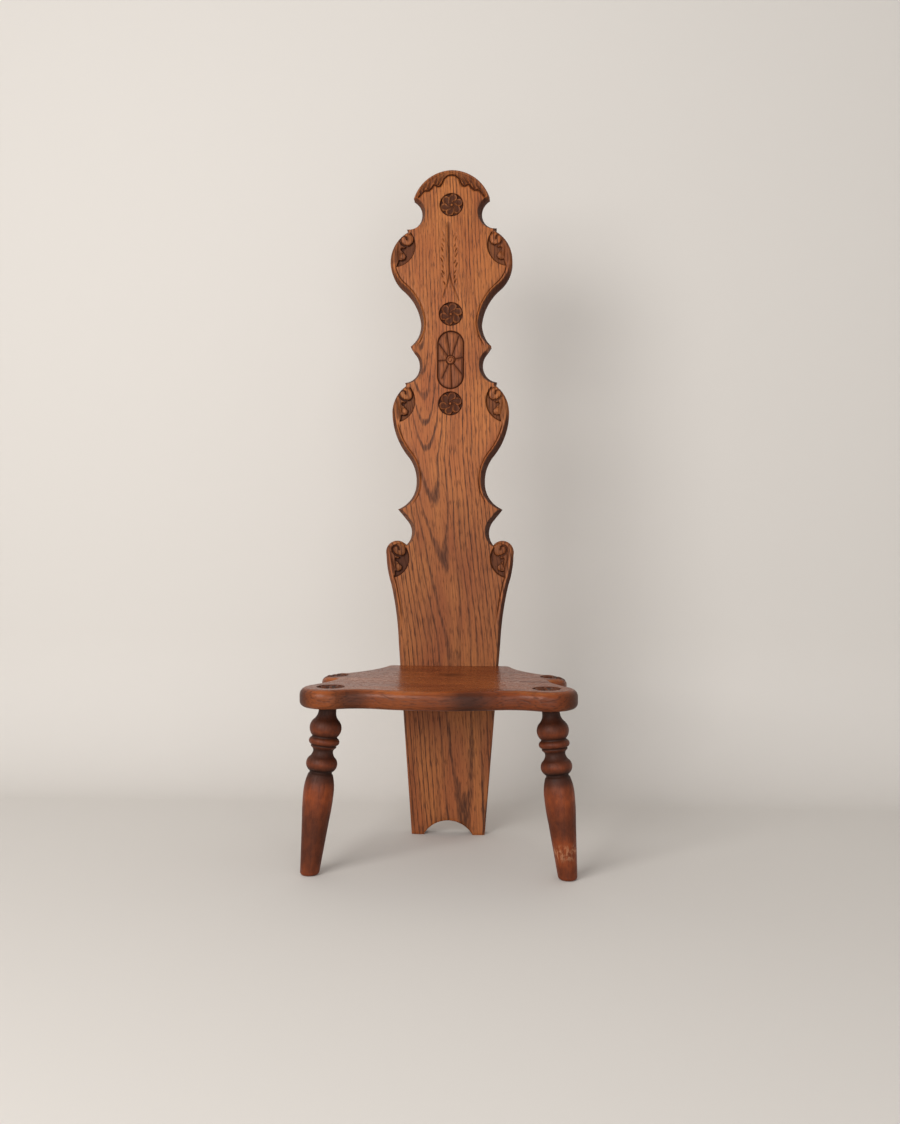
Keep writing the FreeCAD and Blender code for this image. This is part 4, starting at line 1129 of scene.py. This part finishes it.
def paper_sweep():
    """A wide floor, and a backdrop that rises from it in a curve and is clear when seen from behind."""
    half, bend = SWEEP_HALF, SWEEP_BEND
    line = [(SWEEP_BACK - bend + bend * math.sin(a), bend - bend * math.cos(a))
            for a in np.linspace(0, math.pi / 2, 25)]
    line.append((SWEEP_BACK, SWEEP_TOP))
    corners = [(-half, -half, 0), (half, -half, 0), (half, half, 0), (-half, half, 0)]
    faces = [(0, 1, 2, 3)] + [(4 + 2 * i, 5 + 2 * i, 7 + 2 * i, 6 + 2 * i) for i in range(len(line) - 1)]
    corners += [(x, y, z) for y, z in line for x in (-half, half)]
    mesh = bpy.data.meshes.new("paper_sweep")
    mesh.from_pydata(corners, [], faces)
    mesh.shade_smooth()
    sweep = bpy.data.objects.new("paper_sweep", mesh)
    bpy.context.scene.collection.objects.link(sweep)
    material, tree, shader = new_material("pale_paper")
    shader.inputs["Base Color"].default_value = paint("#D5D2CE")
    shader.inputs["Roughness"].default_value = 0.9
    behind = add_node(tree, "ShaderNodeNewGeometry").outputs["Backfacing"]
    clear = add_node(tree, "ShaderNodeBsdfTransparent")
    seen = add_node(tree, "ShaderNodeMixShader", [(0, behind), (1, shader), (2, clear)])
    tree.links.new(seen.outputs[0], tree.nodes["Material Output"].inputs["Surface"])
    mesh.materials.append(material)


def lamp(name, place, target, size, watts, colour):
    """A square soft lamp that faces its target."""
    light = bpy.data.lights.new(name, "AREA")
    light.size = size
    light.energy = watts
    light.color = paint(colour)[:3]
    thing = bpy.data.objects.new(name, light)
    thing.location = place
    thing.rotation_euler = (Vector(target) - Vector(place)).to_track_quat("-Z", "Y").to_euler()
    bpy.context.scene.collection.objects.link(thing)


paper_sweep()

# %% Lamps and world
lamp("window_light", place=(-1.2, -2.0, 1.3), target=(0, 0, 0.45), size=1.4, watts=43, colour="#FFFBF7")
lamp("room_light", place=(0.5, -2.4, 0.45), target=(0, 0, 0.25), size=1.4, watts=16, colour="#FFFFFF")
world = bpy.data.worlds.new("room")
world.use_nodes = True
sky = world.node_tree.nodes["Background"]
sky.inputs["Color"].default_value = paint("#FBF6F1")
sky.inputs["Strength"].default_value = 0.5
seen_sky = add_node(world.node_tree, "ShaderNodeBackground", [("Color", paint("#D9D5D0"))])
# The camera and shiny things see this paler room. Only the plain one lights the chair.
path = add_node(world.node_tree, "ShaderNodeLightPath").outputs
direct = path["Is Camera Ray"]
for ray in ("Is Glossy Ray", "Is Transmission Ray"):
    direct = add_node(world.node_tree, "ShaderNodeMath", [(0, direct), (1, path[ray])], operation="MAXIMUM")
either = add_node(world.node_tree, "ShaderNodeMixShader", [(0, direct), (1, sky), (2, seen_sky)])
world.node_tree.links.new(either.outputs[0], world.node_tree.nodes["World Output"].inputs["Surface"])
bpy.context.scene.world = world
bpy.context.scene.view_settings.view_transform = "Standard"

# %% Camera
CAMERA_AT, CAMERA_TURN, CAMERA_LENS, CAMERA_SHIFT = (0.115, -1.6908, 0.4763), 3.65, 38.43, -0.0463
camera_data = bpy.data.cameras.new("camera")
camera_data.lens, camera_data.sensor_width = CAMERA_LENS, 36.0
camera_data.shift_y = CAMERA_SHIFT
camera = bpy.data.objects.new("camera", camera_data)
camera.location = CAMERA_AT
camera.rotation_euler = (math.radians(90), 0, math.radians(CAMERA_TURN))
bpy.context.scene.collection.objects.link(camera)
bpy.context.scene.camera = camera
print("camera at", CAMERA_AT)
